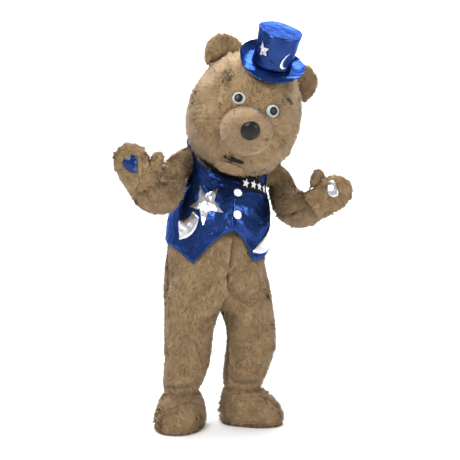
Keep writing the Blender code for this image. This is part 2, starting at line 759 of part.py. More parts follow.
def drop_on(tree, reach=0.12):
    """A drop along a direction onto the faces of a tree, never into a seam."""
    def drop(spot, away, gap):
        side = unit(np.cross(away, (0.31, 0.87, 0.38)))
        best = None
        for shift in (0.0, -0.002, 0.002):
            start = spot + away * reach + side * shift
            hit = tree.ray_cast(Vector(start), Vector(-away), reach + 0.2)[0]
            if hit is not None:
                height = float(np.dot(np.array(hit) - spot, away))
                best = height if best is None else max(best, height)
        return spot if best is None else spot + away * (best + gap)
    return drop


def settle(ring, away, drop, gap, closed=True):
    """A ring dropped onto faces and raised until its sides clear them too."""
    spots = [drop(spot, away, gap) for spot in ring]
    count = len(spots)
    for _ in range(3):
        for j in range(count if closed else count - 1):
            k = (j + 1) % count
            for part in (0.2, 0.4, 0.6, 0.8):
                between = lerp(spots[j], spots[k], part)
                need = np.dot(drop(between, away, 0.7 * gap) - between, away)
                if need > 0:
                    spots[j] = spots[j] + away * need
                    spots[k] = spots[k] + away * need
    return spots


def laid_on(tree, form, normal_form):
    """Placing function: a place on a form, put on the real faces and lifted."""
    def place(a, b, extra=0.0):
        spot = form(a, b)
        away = surface_normal(normal_form, a, b, 1.0, 0.03)
        hit = tree.ray_cast(Vector(spot + away * 0.03), Vector(-away), 0.06)[0]
        start = spot if hit is None else np.array(hit)
        return start + away * extra
    return place


# Start from nothing
for old in list(bpy.data.objects):
    bpy.data.objects.remove(old, do_unlink=True)


# Suit body above the waist
for title, side_angle, middle_angle in (
        ("suit_front_right", 0.0, 90.0), ("suit_front_left", 180.0, 90.0),
        ("suit_back_right", 0.0, -90.0), ("suit_back_left", 180.0, 270.0)):
    bodice_panel(title, side_angle, middle_angle, torso_point, PLUSH_WALL, PLUSH, 0.0,
                 ARMHOLE)

# Legs
for title, side in (("left", -1), ("right", 1)):
    leg_panel("leg_front_" + title, side, 1)
    leg_panel("leg_back_" + title, side, -1)

# Neck cover: from the suit's neckline up into the head opening
COVER_ANGLES = ([90.0 - 90.0 * k for k in NECK_FRONT_STEPS[:-1]]
                + [-90.0 * (1.0 - k) for k in reversed(NECK_BACK_STEPS[1:])]
                + [270.0 - 90.0 * k for k in NECK_BACK_STEPS[:-1]]
                + [90.0 + 90.0 * k for k in reversed(NECK_FRONT_STEPS[1:])])


def neck_hole(turn, angle=NECK_HOLE_ANGLE):
    """Head direction on the neck opening: 0 is the front."""
    axis = unit(NECK_HOLE_AXIS)
    side = np.array((1.0, 0.0, 0.0))
    fore = unit(np.cross(side, axis))
    if fore[1] > 0:
        fore = -fore
    return (axis * math.cos(angle)
            + (fore * math.cos(turn) + side * math.sin(turn)) * math.sin(angle))


def neck_cover():
    """Black tube with its own soft sag between the neckline and the head opening."""
    axis = head_turn(unit(NECK_HOLE_AXIS))
    rim_line = np.array([torso_point(a, neckline_row(a)) for a in COVER_ANGLES])
    count = len(COVER_ANGLES)
    low, edge, mouth, deep = [], [], [], []
    for k, angle in enumerate(COVER_ANGLES):
        normal = surface_normal(torso_point, angle, neckline_row(angle), 0.5, 0.02)
        along = unit(rim_line[(k + 1) % count] - rim_line[k - 1])
        away = unit(np.cross(normal, along))
        if np.dot(away, HEAD_MIDDLE - rim_line[k]) < 0:
            away = -away
        low.append(rim_line[k] - normal * 0.0014 + away * 0.0050)
        edge.append(rim_line[k] - normal * 0.0015 + away * 0.013)
        rim = head_point(neck_hole(math.radians(90.0 - angle)))
        middle = HEAD_MIDDLE + axis * np.dot(rim - HEAD_MIDDLE, axis)
        rim = rim + unit(middle - rim) * 0.0020
        mouth.append(rim)
        deep.append(rim - unit(rim - HEAD_MIDDLE) * 0.017 + unit(middle - rim) * 0.0006)
    low, edge, mouth, deep = (np.array(r) for r in (low, edge, mouth, deep))
    rings_out = [low, edge]
    for part in (0.3, 0.62, 0.86):
        blend = lerp(edge, mouth, part)
        away = np.linalg.norm(blend - HEAD_MIDDLE, axis=1)
        need = np.array([head_reach(head_unturn(p - HEAD_MIDDLE)) + 0.007 for p in blend])
        push = np.maximum(need / away, 1.0)[:, None]
        rings_out.append(HEAD_MIDDLE + (blend - HEAD_MIDDLE) * push)
    rings_out += [mouth, deep]
    outer = np.array(rings_out)
    normals = grid_normals(outer, True)
    wall_from_grids("neck_cover", outer, outer - normals * COVER_WALL, BLACK_CLOTH, wrap=True)


neck_cover()


# Head shell: two sides that meet on the middle line over the crown
NOSE_BRIDGE, NAPE = 35.0, 145.0
NECK_FRONT, NECK_BACK = -114.2 + 36.0, 360.0 - 114.2 - 36.0


def over_head(arc):
    """Head direction on the middle line: 0 the front, 90 the crown."""
    b = math.radians(arc)
    return np.array((0.0, -math.cos(b), math.sin(b)))


def head_side(name, way, cols=18, rows=11):
    """Side of the head from the neck opening to the middle seam."""
    outer = np.zeros((rows + 1, cols + 1, 3))
    inner = np.zeros_like(outer)
    for i in range(rows + 1):
        for j in range(cols + 1):
            d = unit(coons(lambda u: neck_hole(way * math.pi * u),
                           lambda u: over_head(lerp(NOSE_BRIDGE, NAPE, u)),
                           lambda v: over_head(lerp(NECK_FRONT, NOSE_BRIDGE, v)),
                           lambda v: over_head(lerp(NECK_BACK, NAPE, v)), j / cols, i / rows))
            outer[i, j] = head_point(d)
            inner[i, j] = HEAD_MIDDLE + head_turn(d) * (head_reach(d) - HEAD_WALL)
    apart = head_turn(np.array((way * 0.0003, 0.0, 0.0)))
    return wall_from_grids(name, pull_edges(outer, SEAM_GAP) + apart,
                           pull_edges(inner, SEAM_GAP) + apart, PLUSH)


head_tree = faces_of(head_side("head_side_left", -1.0), head_side("head_side_right", 1.0))
on_head = drop_on(head_tree, 0.2)


# Ears: a dished front and a domed back
def ear_half(name, tilt, face, wall, depths, cols=8, rows=5):
    """Front or back of an ear, its lower edge following the head."""
    toward = facing(0.0, 0.0) * 0.0 + np.array((math.sin(tilt), 0.03, math.cos(tilt)))
    up = unit(toward)
    along = np.array((math.cos(tilt), 0.0, -math.sin(tilt)))
    forward = unit(np.cross(up, along))
    if forward[1] > 0:
        forward = -forward
    base = up * (head_reach(up) - 0.012)
    wide, tall = 0.096, 0.106
    layers = []
    for layer in (0, 1):
        grid = np.zeros((rows + 1, cols + 1, 3))
        for i in range(rows + 1):
            for j in range(cols + 1):
                d = half_disc_direction(2 * j / cols - 1, i / rows)
                inset = layer * wall
                if face > 0:
                    deep = depths[0] * d[2] * (1 - d[2]) * 4 - depths[1] * d[2] ** 2
                else:
                    deep = -depths[0] * d[2]
                spot = (base + along * d[0] * (wide - inset) + up * d[1] * (tall - inset)
                        + forward * (deep - (face * inset if d[2] > 0 else 0.0) * d[2]))
                grid[i, j] = HEAD_MIDDLE + head_turn(spot + forward * face * 0.0003)
        axis = head_turn(up)
        grid = pull_edges(grid, 2 * SEAM_GAP, (False, True, True, True))
        grid[0] = settle(list(grid[0]), axis, on_head, 0.0018, False)
        layers.append(grid)
    wall_from_grids(name, layers[0], layers[1], PLUSH)


for title, tilt in (("left", math.radians(-40.0)), ("right", math.radians(41.0))):
    ear_half("ear_front_" + title, tilt, 1.0, 0.008, (0.018, 0.004))
    ear_half("ear_back_" + title, tilt, -1.0, 0.012, (0.050, 0.0))


# Face pieces stand on the head along a direction
def face_frame(direction):
    """Middle, outward, sideways and upward directions of a place on the face."""
    away = head_turn(unit(direction))
    side = unit(np.cross(away, head_turn(np.array((0.0, 0.0, 1.0)))))
    if np.dot(side, head_turn(np.array((1.0, 0.0, 0.0)))) < 0:
        side = -side
    up = unit(np.cross(side, away))
    if np.dot(up, head_turn(np.array((0.0, 0.0, 1.0)))) < 0:
        up = -up
    return away, side, up


def cup(name, middle, frame, sizes, profile, look, wall, drop, droop=0.0, cols=24, gap=0.0010):
    """A padded cup standing on another piece: half width, half height, stand-out."""
    away, side, up = frame
    half_w, half_h, stand = sizes
    outer, inner = [], []
    for layer, keep in ((0, outer), (1, inner)):
        thin = wall * layer
        for k, (rise, scale) in enumerate(profile):
            ring = []
            for j in range(cols):
                turn = 2 * math.pi * j / cols
                spot = (middle + side * math.cos(turn) * (half_w * scale - thin)
                        + up * math.sin(turn) * (half_h * scale - thin)
                        + away * max(stand * rise - (thin if k else 0.0), 0.0)
                        + up * droop * rise)
                if k:
                    floor = drop(spot, away, gap + (0.002 if layer else 0.003 + 0.4 * wall))
                    spot = spot + away * max(np.dot(floor - spot, away), 0.0)
                ring.append(spot)
            keep.append(ring if k else settle(ring, away, drop, gap))
    tip = middle + away * stand + up * droop
    return dome(name, np.array(outer), tip, np.array(inner), tip - away * wall, look), tip


def face_cup(name, direction, sizes, profile, look, wall, droop=0.0, cols=24):
    """A padded cup on the face."""
    frame = face_frame(direction)
    made, tip = cup(name, on_head(head_point(direction), frame[0], 0.0), frame, sizes, profile, look, wall,
                    on_head, droop, cols)
    return made, tip, frame[0], frame[2]


MUZZLE_PROFILE = ((0.0, 1.0), (0.22, 1.0), (0.45, 0.95), (0.66, 0.84), (0.83, 0.66), (0.94, 0.44),
                  (0.985, 0.22))
_, muzzle_tip, muzzle_away, muzzle_up = face_cup(
    "muzzle", facing(0.0, -21.0), (0.119, 0.110, 0.112), MUZZLE_PROFILE, SHORT_PLUSH, 0.014,
    droop=0.018, cols=18)
JAW_PROFILE = ((0.0, 1.0), (0.4, 0.93), (0.75, 0.72), (0.95, 0.4))
face_cup("lower_jaw", facing(0.0, -67.0), (0.082, 0.036, 0.026), JAW_PROFILE, PLUSH, 0.010,
         cols=16)
MOUTH_PROFILE = ((0.0, 1.0), (0.7, 0.9), (0.95, 0.55))
face_cup("mouth_lining", facing(0.0, -53.5), (0.056, 0.014, 0.008), MOUTH_PROFILE, BLACK_CLOTH,
         0.002, cols=14)
EYE_PROFILE = ((0.0, 1.0), (0.45, 0.92), (0.8, 0.7), (0.96, 0.38))


def face_lump(name, middle, away, side, up, sizes, profile, look, cols=16, flat=0.0):
    """Closed hard piece: a flat-backed dome."""
    half_w, half_h, stand = sizes
    rings = []
    for rise, scale in profile:
        rings.append([middle + side * math.cos(2 * math.pi * j / cols) * half_w * scale
                      + up * math.sin(2 * math.pi * j / cols) * half_h * scale
                      + away * stand * rise for j in range(cols)])
    return closed_lump(name, np.array(rings), middle + away * stand, middle + away * flat, look)


NOSE_PROFILE = ((0.0, 0.55), (0.12, 0.85), (0.35, 1.0), (0.6, 0.93), (0.82, 0.7), (0.96, 0.36))
BUTTON_PROFILE = ((0.0, 0.9), (0.4, 1.0), (0.8, 0.85), (1.0, 0.45))

# Eyes: a white dome with a pupil dome on it
for title, way in (("left", -1.0), ("right", 1.0)):
    toward = facing(way * 17.5, 6.0)
    away, side, up = face_frame(toward)
    _, eye_tip, _, _ = face_cup("eye_white_" + title, toward, (0.032, 0.030, 0.013),
                                EYE_PROFILE, EYE_WHITE, 0.004, cols=14)
    face_lump("pupil_" + title, eye_tip + away * 0.0004, away, side, up,
              (0.021, 0.021, 0.006), EYE_PROFILE, BLACK_GLOSS, cols=12)
nose_side = unit(np.cross(muzzle_away, muzzle_up))
face_lump("nose", muzzle_tip + muzzle_away * 0.0006 + muzzle_up * 0.030, muzzle_away,
          nose_side, muzzle_up, (0.046, 0.047, 0.036), NOSE_PROFILE, BLACK_GLOSS)


# Mitts: palm, back and thumb, each with a palm pad
THUMB_PROFILE = ((0.0, 1.0), (0.35, 0.98), (0.6, 0.9), (0.8, 0.72), (0.94, 0.42))
MITTS = (
    ("left", SLEEVE_LEFT, MITT_WAY_LEFT, (0.0, -1.0, 0.0), (0.088, 0.062, 0.125, 0.105), 1.0),
    ("right", SLEEVE_RIGHT, MITT_WAY_RIGHT, (0.1, -0.9, 0.42), (0.088, 0.062, 0.115, 0.105), -1.0),
)
PAD_SHAPES = {"left": "heart", "right": "bean"}
mitt_frames, mitt_trees = {}, {}
for title, table, way, facing_way, sizes, thumb_side in MITTS:
    tip_way = unit(way)
    cuff = np.array(table[-1][:3]) + tip_way * 0.0001
    palm_way = unit(np.array(facing_way) - tip_way * np.dot(facing_way, tip_way))
    across = unit(np.cross(tip_way, palm_way))
    if across[0] * thumb_side < 0:
        across = -across
    full = (table[-1][3], table[-1][4], *sizes)
    palm = mitt_half("mitt_palm_" + title, cuff, tip_way, across, palm_way, full, 1.0)
    back = mitt_half("mitt_back_" + title, cuff, tip_way, across, palm_way, full, -1.0)
    mitt_frames[title] = (cuff, tip_way, across, palm_way, full)
    tree = faces_of(palm, back)
    mitt_trees[title] = tree
    thumb_way = unit(across * 0.80 + tip_way * 0.60)
    thumb_side_way = unit(np.cross(thumb_way, palm_way))
    seat = cuff + tip_way * 0.070 + across * 0.080 + palm_way * 0.008
    cup("thumb_" + title, seat, (thumb_way, thumb_side_way, palm_way), (0.034, 0.032, 0.080),
        THUMB_PROFILE, PLUSH, 0.010, drop_on(tree), cols=12, gap=0.0010)

# Feet: an upper and a sole
FOOT_ROWS = (
    (0.1683, 1.000, 1.000, 1.000), (0.150, 0.118, 0.100, 0.098), (0.125, 0.158, 0.107, 0.112),
    (0.092, 0.190, 0.110, 0.122), (0.055, 0.208, 0.110, 0.127), (0.024, 0.210, 0.107, 0.125),
    (0.0088, 0.202, 0.101, 0.119),
)


def foot_ring(middle, turn, fore, aft, half_w, height, cols, push=0.0):
    """One level outline of a foot."""
    ring = []
    for j in range(cols):
        a = 2 * math.pi * j / cols
        c, s_ = math.cos(a), math.sin(a)
        side = half_w * math.copysign(abs(c) ** 0.88, c)
        reach = (fore if s_ > 0 else aft) * math.copysign(abs(s_) ** 0.88, s_)
        x, y = turned(side, -reach, turn)
        ring.append((middle[0] + x, middle[1] + y, FLOOR + height))
    return np.array(ring)


for title, table, turn, stretch in (("left", LEG_LEFT, -8.0, 1.0), ("right", LEG_RIGHT, 62.0, 1.08)):
    hem = table[0]
    rings = []
    for height, fore, aft, half_w in FOOT_ROWS:
        if fore == 1.0:
            fore, aft, half_w = hem[4], hem[4], hem[3]
        else:
            fore = fore * stretch
        rings.append(foot_ring(hem[1:3], math.radians(turn), fore, aft, half_w, height, 18))
    outer = np.array(rings)
    normals = grid_normals(outer, True)
    for k in (0, len(rings) - 1):
        normals[k, :, 2] = 0.0
        normals[k] = np.array([unit(n) for n in normals[k]])
    wall_from_grids("foot_upper_" + title, outer, outer - normals * 0.014, PLUSH, wrap=True)
    flat = [foot_ring(hem[1:3], math.radians(turn), 0.202 * stretch, 0.101, 0.119, h, 18)
            for h in (0.0, 0.0083)]
    closed_lump("sole_" + title, np.array(flat), flat[1].mean(axis=0), flat[0].mean(axis=0), SOLE)

# Waistcoat: two fronts and a back cut in two halves
vest_made = []
for title, side_angle, middle_angle, cols in (
        ("vest_front_right", 0.0, 90.0, 11), ("vest_front_left", 180.0, 90.0, 11),
        ("vest_back_right", 0.0, -90.0, 7), ("vest_back_left", 180.0, 270.0, 7)):
    vest_made.append(bodice_panel(title, side_angle, middle_angle, vest_point, SATIN_WALL, SATIN,
                                  -3.0, VEST_ARMHOLE, tuck=0.003, low_row=hem_row, cols=cols))
vest_tree = faces_of(*vest_made)
on_vest = laid_on(vest_tree, vest_point, under_vest)


# Sleeves, pressed in where they lie against the waistcoat
body_grid = [[vest_point(5.0 * a, -3.0 + 0.2 * r) for a in range(73)] for r in range(58)]
body_tree = BVHTree.FromPolygons(
    [Vector(spot) for line in body_grid for spot in line],
    [(73 * r + a + 1, 73 * r + a, 73 * (r + 1) + a, 73 * (r + 1) + a + 1)
     for r in range(57) for a in range(72)])
for title, table, side, way in (("left", SLEEVE_LEFT, -1, MITT_WAY_LEFT),
                                ("right", SLEEVE_RIGHT, 1, MITT_WAY_RIGHT)):
    rings_out, rings_in = sleeve_rings(table, side, 16, 7, way)
    pressed_clear(rings_out, rings_in, body_tree, 0.006)
    split_tube(("sleeve_front_" + title, "sleeve_back_" + title), rings_out, rings_in, PLUSH,
               0.0005)


def raised_clear(spots, aways, edges, tree, gap):
    """Places lifted until the lines between them clear the faces under them."""
    spots = [np.array(spot) for spot in spots]
    for _ in range(4):
        for a, b in edges:
            for part in (0.2, 0.4, 0.6, 0.8):
                between = lerp(spots[a], spots[b], part)
                away = unit(lerp(aways[a], aways[b], part))
                hit = tree.ray_cast(Vector(between + away * 0.03), Vector(-away), 0.06)[0]
                if hit is None:
                    continue
                need = float(np.dot(np.array(hit) - between, away)) + gap
                if need > 0:
                    spots[a] = spots[a] + away * need
                    spots[b] = spots[b] + away * need
    return spots


def laid_grid(grid, wrap, place, tree, gap, middle=None):
    """A grid of places put on a form, clear of its faces, with its outward directions."""
    rows, cols = len(grid), len(grid[0])
    flat = [spot for line in grid for spot in line] + ([] if middle is None else [middle])
    spots = [place(*spot, gap) for spot in flat]
    aways = [unit(place(*spot, 0.01) - place(*spot, 0.0)) for spot in flat]
    edges = []
    for i in range(rows):
        for j in range(cols if wrap else cols - 1):
            a, b = i * cols + j, i * cols + (j + 1) % cols
            edges.append((a, b))
            if i < rows - 1:
                edges += [(a, a + cols), (a, b + cols), (b, a + cols)]
        if not wrap and i < rows - 1:
            edges.append((i * cols + cols - 1, (i + 1) * cols + cols - 1))
    if middle is not None:
        edges += [((rows - 1) * cols + j, rows * cols) for j in range(cols)]
    spots = raised_clear(spots, aways, edges, tree, 0.8 * gap)
    return np.array(spots), np.array(aways)


def patch_solid(name, centre, outline, splits, scales, heights, look, place, tree, gap=0.0012):
    """Raised piece of cloth: an outline round a middle, laid on a form."""
    rim = []
    for k, start in enumerate(outline):
        end = outline[(k + 1) % len(outline)]
        for part in range(splits):
            rim.append(lerp(np.array(start), np.array(end), part / splits))
    middle = np.array(centre)
    grid = [[lerp(middle, spot, scale) for spot in rim] for scale in scales]
    base, aways = laid_grid(grid, True, place, tree, gap, middle)
    rise = np.repeat(np.array(heights), len(rim)).reshape(-1, 1)
    top = base[:-1] + aways[:-1] * rise
    shape = (len(scales), len(rim), 3)
    return dome(name, top.reshape(shape), base[-1] + aways[-1] * heights[-1] * 1.15,
                base[:-1].reshape(shape), base[-1], look)


def strip_solid(name, rows, steps, look, place, tree, thick=0.0012, gap=0.0012, fine=3):
    """Raised strip of cloth between two side lines, laid on a form."""
    table = np.array(rows, dtype=float)
    grid = []
    for i in range((len(rows) - 1) * fine + 1):
        a0, r0, a1, r1 = smooth_rows(table, i / fine)
        grid.append([(lerp(a0, a1, j / steps), lerp(r0, r1, j / steps))
                     for j in range(steps + 1)])
    base, aways = laid_grid(grid, False, place, tree, gap)
    shape = (len(grid), steps + 1, 3)
    return wall_from_grids(name, (base + aways * thick).reshape(shape), base.reshape(shape), look)


STAR = ((137.9, 2.80), (123.7, 2.32), (109.9, 2.72), (111.3, 2.00), (100.4, 1.35),
        (115.6, 1.47), (122.1, 0.67), (126.5, 1.50), (140.5, 1.62), (130.6, 1.99))
patch_solid("vest_star", (121.2, 1.95), STAR, 2, (1.0, 0.66, 0.33), (0.0014, 0.003, 0.0048),
            SILVER, on_vest, vest_tree)
COMET = ((135.6, 1.40, 127.0, 1.12), (139.0, 1.14, 128.0, 0.80), (144.5, 0.98, 132.0, 0.37),
         (149.0, 0.88, 138.5, -0.02), (152.6, 0.81, 146.0, -0.22), (153.0, 0.20, 152.8, -0.31))
strip_solid("vest_comet_tail", COMET, 3, SILVER, on_vest, vest_tree, fine=2)
CRESCENT = ((25.0, 1.50, 22.0, 1.46), (30.0, 0.75, 17.0, 0.80), (44.0, 0.05, 19.0, 0.00),
            (57.0, -0.60, 28.0, -0.80), (66.5, -1.15, 42.0, -1.35), (66.0, -1.30, 55.0, -1.44))
strip_solid("vest_crescent", CRESCENT, 4, SILVER, on_vest, vest_tree, fine=2)
BADGE = ((85.0, 3.42, 84.0, 2.80), (75.0, 3.62, 73.0, 2.74), (62.0, 3.60, 60.0, 2.66),
         (50.0, 3.46, 48.0, 2.56), (37.0, 3.26, 36.0, 2.44), (26.0, 3.00, 26.0, 2.38))
badge = strip_solid("vest_badge", BADGE, 3, BLACK_CLOTH, on_vest, vest_tree, fine=2)


def small_star(angle, row, turn, size_angle, size_row):
    """Outline of a plain five-pointed star in panel measures."""
    points = []
    for k in range(10):
        reach = 1.0 if k % 2 == 0 else 0.46
        a = turn + math.pi * k / 5
        points.append((angle - size_angle * reach * math.sin(a),
                       row + size_row * reach * math.cos(a)))
    return points


badge_tree = faces_of(badge)
on_badge = laid_on(badge_tree, vest_point, under_vest)
for k, (angle, row) in enumerate(((77.0, 3.16), (64.5, 3.12), (52.5, 3.02), (40.5, 2.88))):
    patch_solid("badge_star_%d" % (k + 1), (angle, row),
                small_star(angle, row, 0.2, 5.4, 0.33), 1, (1.0,), (0.0010,),
                BUTTON_WHITE, on_badge, badge_tree)

# Buttons
for name, angle, row in (("button_upper", 86.6, 2.51), ("button_lower", 86.6, 1.27)):
    seat = on_vest(angle, row)
    away = surface_normal(under_vest, angle, row, 1.0, 0.03)
    side = unit(np.cross(np.array((0.0, 0.0, 1.0)), away))
    rise = unit(np.cross(away, side))
    rim = [seat + (side * math.cos(0.3 * k) + rise * math.sin(0.3 * k)) * 0.0195
           for k in range(21)]
    on_front = drop_on(vest_tree, 0.02)
    seat = seat + away * (max(np.dot(on_front(spot, away, 0.0) - seat, away) for spot in rim)
                          + 0.0006)
    face_lump(name, seat, away, side, unit(np.cross(away, side)), (0.0215, 0.0215, 0.008),
              BUTTON_PROFILE, BUTTON_WHITE, cols=12)

# Hat: brim, crown side and flat tip, leaning over the brow
HAT_UP = unit((0.24, -0.50, 0.832))
HAT_RIGHT = unit(np.array((1.0, 0.0, 0.0)) - HAT_UP * HAT_UP[0])
HAT_BACK = unit(np.cross(HAT_UP, HAT_RIGHT))
HAT_SEAT = HEAD_MIDDLE + unit((0.40, -0.58, 0.71)) * 0.300
CROWN_RADII = ((0.0, 0.098), (0.05, 0.095), (0.11, 0.097), (0.145, 0.102), (0.172, 0.104))
BRIM_ROWS = ((0.0955, 0.0), (0.112, 0.0), (0.130, 0.006), (0.147, 0.018), (0.160, 0.034))
HAT_COLS = 24
HAT_HEIGHT = 0.172


def hat_spot(angle, radius, height):
    """Place on the hat: 0 is image right, 270 the front."""
    a = math.radians(angle)
    return (HAT_SEAT + HAT_RIGHT * radius * math.cos(a) + HAT_BACK * radius * math.sin(a)
            + HAT_UP * height)


def hat_base(angle, radius):
    """Height of the hat's foot, which rests on the head where the head stands higher."""
    spot = hat_spot(angle, radius, 0.0)
    return np.dot(on_head(spot, HAT_UP, 0.0) - spot, HAT_UP)


hat_level = max(hat_base(360.0 * k / HAT_COLS, 0.098) for k in range(HAT_COLS)) - 0.010


def foot_height(angle):
    """Crown foot height round the hat."""
    low = max(hat_base(angle + turn, radius) for radius in (0.0945, 0.098, 0.101)
              for turn in (-6.0, 0.0, 6.0))
    return max(low + 0.0010, hat_level)


def crown_point(angle, height, out=0.0):
    """Outer face of the crown side with its dents."""
    table = np.array(CROWN_RADII)
    radius = float(np.interp(height, table[:, 0], table[:, 1]))
    dent = 0.006 * math.sin(math.radians(3 * angle + 40)) * math.sin(math.pi * height / HAT_HEIGHT)
    dent += 0.004 * math.sin(math.radians(5 * angle - 250 * height)) * height / HAT_HEIGHT
    start = foot_height(angle) + 0.0032
    rise = lerp(start, hat_level + HAT_HEIGHT, height / HAT_HEIGHT)
    return hat_spot(angle, radius + dent + out, rise)


heights = [HAT_HEIGHT * k / 4 for k in range(5)]
outer = np.array([[crown_point(360.0 * j / HAT_COLS, h) for j in range(HAT_COLS)]
                  for h in heights])
inner = np.array([[crown_point(360.0 * j / HAT_COLS, h, -0.0024) for j in range(HAT_COLS)]
                  for h in heights])
crown = wall_from_grids("hat_crown", outer, inner, SATIN, wrap=True)
tip_rings, tip_under = [], []
for scale, dip in ((1.0, 0.0), (0.72, -0.003), (0.42, -0.004)):
    for keep, drop in ((tip_rings, 0.0030), (tip_under, 0.0006)):
        ring = []
        for j in range(HAT_COLS):
            edge = crown_point(360.0 * j / HAT_COLS, HAT_HEIGHT, 0.0)
            centre = hat_spot(0.0, 0.0, hat_level + HAT_HEIGHT)
            ring.append(lerp(centre, edge, scale) + HAT_UP * (drop + dip))
        keep.append(ring)
tip_centre = hat_spot(0.0, 0.0, hat_level + HAT_HEIGHT - 0.003)
dome("hat_tip", np.array(tip_rings), tip_centre + HAT_UP * 0.0030, np.array(tip_under),
     tip_centre + HAT_UP * 0.0006, SATIN)


def brim_point(angle, step, out=0.0):
    """Face of the brim: it droops at the front and turns up at the sides and back."""
    radius, rise = smooth_rows(BRIM_ROWS, step)
    front = max(-math.sin(math.radians(angle)), 0.0) ** 1.4
    span = (radius - 0.0955) / 0.0645
    lift = rise * (1.0 - 2.0 * front) + 0.012 * span * math.cos(math.radians(2 * angle + 150))
    spot = hat_spot(angle, radius, foot_height(angle) + 0.0002 + lift + out)
    floor = on_head(spot - HAT_UP * out, HAT_UP, 0.0010)
    need = np.dot(floor - spot, HAT_UP) + out
    return spot + HAT_UP * max(need, 0.0)


steps = [0.0, 1.0, 2.0, 3.0, 4.0]
upper = np.array([[brim_point(360.0 * j / HAT_COLS, k, 0.0024) for j in range(HAT_COLS)]
                  for k in steps])
lower = np.array([[brim_point(360.0 * j / HAT_COLS, k) for j in range(HAT_COLS)] for k in steps])
wall_from_grids("hat_brim", upper, lower, SATIN, wrap=True)


crown_tree = faces_of(crown)


def on_crown(angle, height, extra=0.0):
    """Place lifted off the real faces of the crown side."""
    spot = crown_point(angle, height)
    away = unit(crown_point(angle, height, 0.01) - spot)
    hit = crown_tree.ray_cast(Vector(spot + away * 0.02), Vector(-away), 0.05)[0]
    return (spot if hit is None else np.array(hit)) + away * extra


patch_solid("hat_star", (228.0, 0.088), small_star(228.0, 0.088, 0.35, 24.0, 0.040), 1,
            (1.0, 0.6, 0.3), (0.0012, 0.0014, 0.0014), SILVER, on_crown, crown_tree)
HAT_MOON = ((307.0, 0.100, 305.5, 0.102), (300.0, 0.086, 295.0, 0.080), (293.5, 0.062, 286.0, 0.054),
            (294.0, 0.040, 286.5, 0.030), (301.0, 0.029, 298.0, 0.019), (308.0, 0.031, 308.5, 0.026))
strip_solid("hat_moon", HAT_MOON, 3, SILVER, on_crown, crown_tree, fine=2)


# Palm pads follow the palm's own rounding
def palm_place(title):
    """Placing function over one palm: across and along in metres."""
    cuff, tip_way, across, palm_way, sizes = mitt_frames[title]

    def place(over, along, extra=0.0):
        _, _, half_a, half_b, straight, cap = sizes
        x = over / half_a
        t = max(along - straight, 0.0) / cap
        deep = half_b * math.sqrt(max(1.0 - x * x - t * t, 0.0))
        normal = unit(across * x / half_a + tip_way * t / cap + palm_way * deep / half_b ** 2)
        spot = cuff + across * over + tip_way * along + palm_way * deep
        hit = mitt_trees[title].ray_cast(Vector(spot + normal * 0.02), Vector(-normal), 0.05)[0]
        return (spot if hit is None else np.array(hit)) + normal * extra
    return place


HEART = ((0.0, 0.034), (0.020, 0.044), (0.036, 0.030), (0.032, 0.006), (0.014, -0.020),
         (-0.002, -0.044), (-0.020, -0.024), (-0.034, 0.002), (-0.036, 0.028), (-0.018, 0.044))
BEAN = ((0.0, 0.030), (0.022, 0.038), (0.042, 0.026), (0.046, 0.004), (0.030, -0.016),
        (0.004, -0.022), (-0.022, -0.018), (-0.040, -0.002), (-0.040, 0.020), (-0.020, 0.032))
for title, shape, look in (("left", HEART, SATIN), ("right", BEAN, SILVER)):
    outline = [(x, 0.128 + y) for x, y in shape]
    patch_solid("palm_pad_" + title, (0.0, 0.130), outline, 1, (1.0, 0.66, 0.33),
                (0.0012, 0.0030, 0.0042), look, palm_place(title), mitt_trees[title])
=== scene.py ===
# Bear mascot costume dressed for its studio picture
import math
import bpy
import bmesh
import numpy as np
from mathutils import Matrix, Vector
from mathutils.bvhtree import BVHTree
from mathutils.kdtree import KDTree


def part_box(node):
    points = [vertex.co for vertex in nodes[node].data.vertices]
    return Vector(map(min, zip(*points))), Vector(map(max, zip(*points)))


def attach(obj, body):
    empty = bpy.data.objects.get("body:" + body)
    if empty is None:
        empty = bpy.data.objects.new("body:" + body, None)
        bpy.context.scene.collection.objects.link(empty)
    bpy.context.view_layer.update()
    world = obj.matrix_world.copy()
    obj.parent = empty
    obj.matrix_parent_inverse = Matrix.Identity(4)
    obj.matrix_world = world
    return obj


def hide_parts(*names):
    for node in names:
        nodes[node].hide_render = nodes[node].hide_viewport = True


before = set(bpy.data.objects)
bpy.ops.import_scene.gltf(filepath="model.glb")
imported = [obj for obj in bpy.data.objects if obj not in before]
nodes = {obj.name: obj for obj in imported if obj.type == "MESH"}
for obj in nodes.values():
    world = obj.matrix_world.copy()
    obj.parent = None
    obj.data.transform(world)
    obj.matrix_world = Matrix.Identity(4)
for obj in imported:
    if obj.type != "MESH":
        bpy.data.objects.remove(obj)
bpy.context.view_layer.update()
scene = bpy.context.scene
bpy.ops.object.select_all(action="DESELECT")

# Sizes
FLOOR_HEIGHT = -1.365
HEAD_CENTRE = (0.129, -0.10, 0.178)
VEST_MIDDLE = (0.03, 0.03)
VEST_RADIUS = 0.24
LEG_RADIUS = 0.13

# Pile
FUR_SINK = 0.008
STRANDS_PER_CM2 = 6.5
STRANDS_PER_LOCK = 18
STRAND_WIDTH = 0.0030
WIDE_SWIRL = 0.16
FINE_SWIRL = 0.05
BROW_HALF_WIDTH = 0.013

# Cloth
CRUMPLE_RISE = 0.0016
HAT_DENT = 0.0022
ROUNDING_CREASE = 50.0

# Camera
CAMERA_PLACE = (0.055, -4.5, -0.185)
SENSOR_WIDTH = 36.0
VIEW_WIDTH = 2.3
PICTURE_PIXELS = 460.0
PICTURE_DROP = 43.0
PIXELS_PER_METRE = 200.0

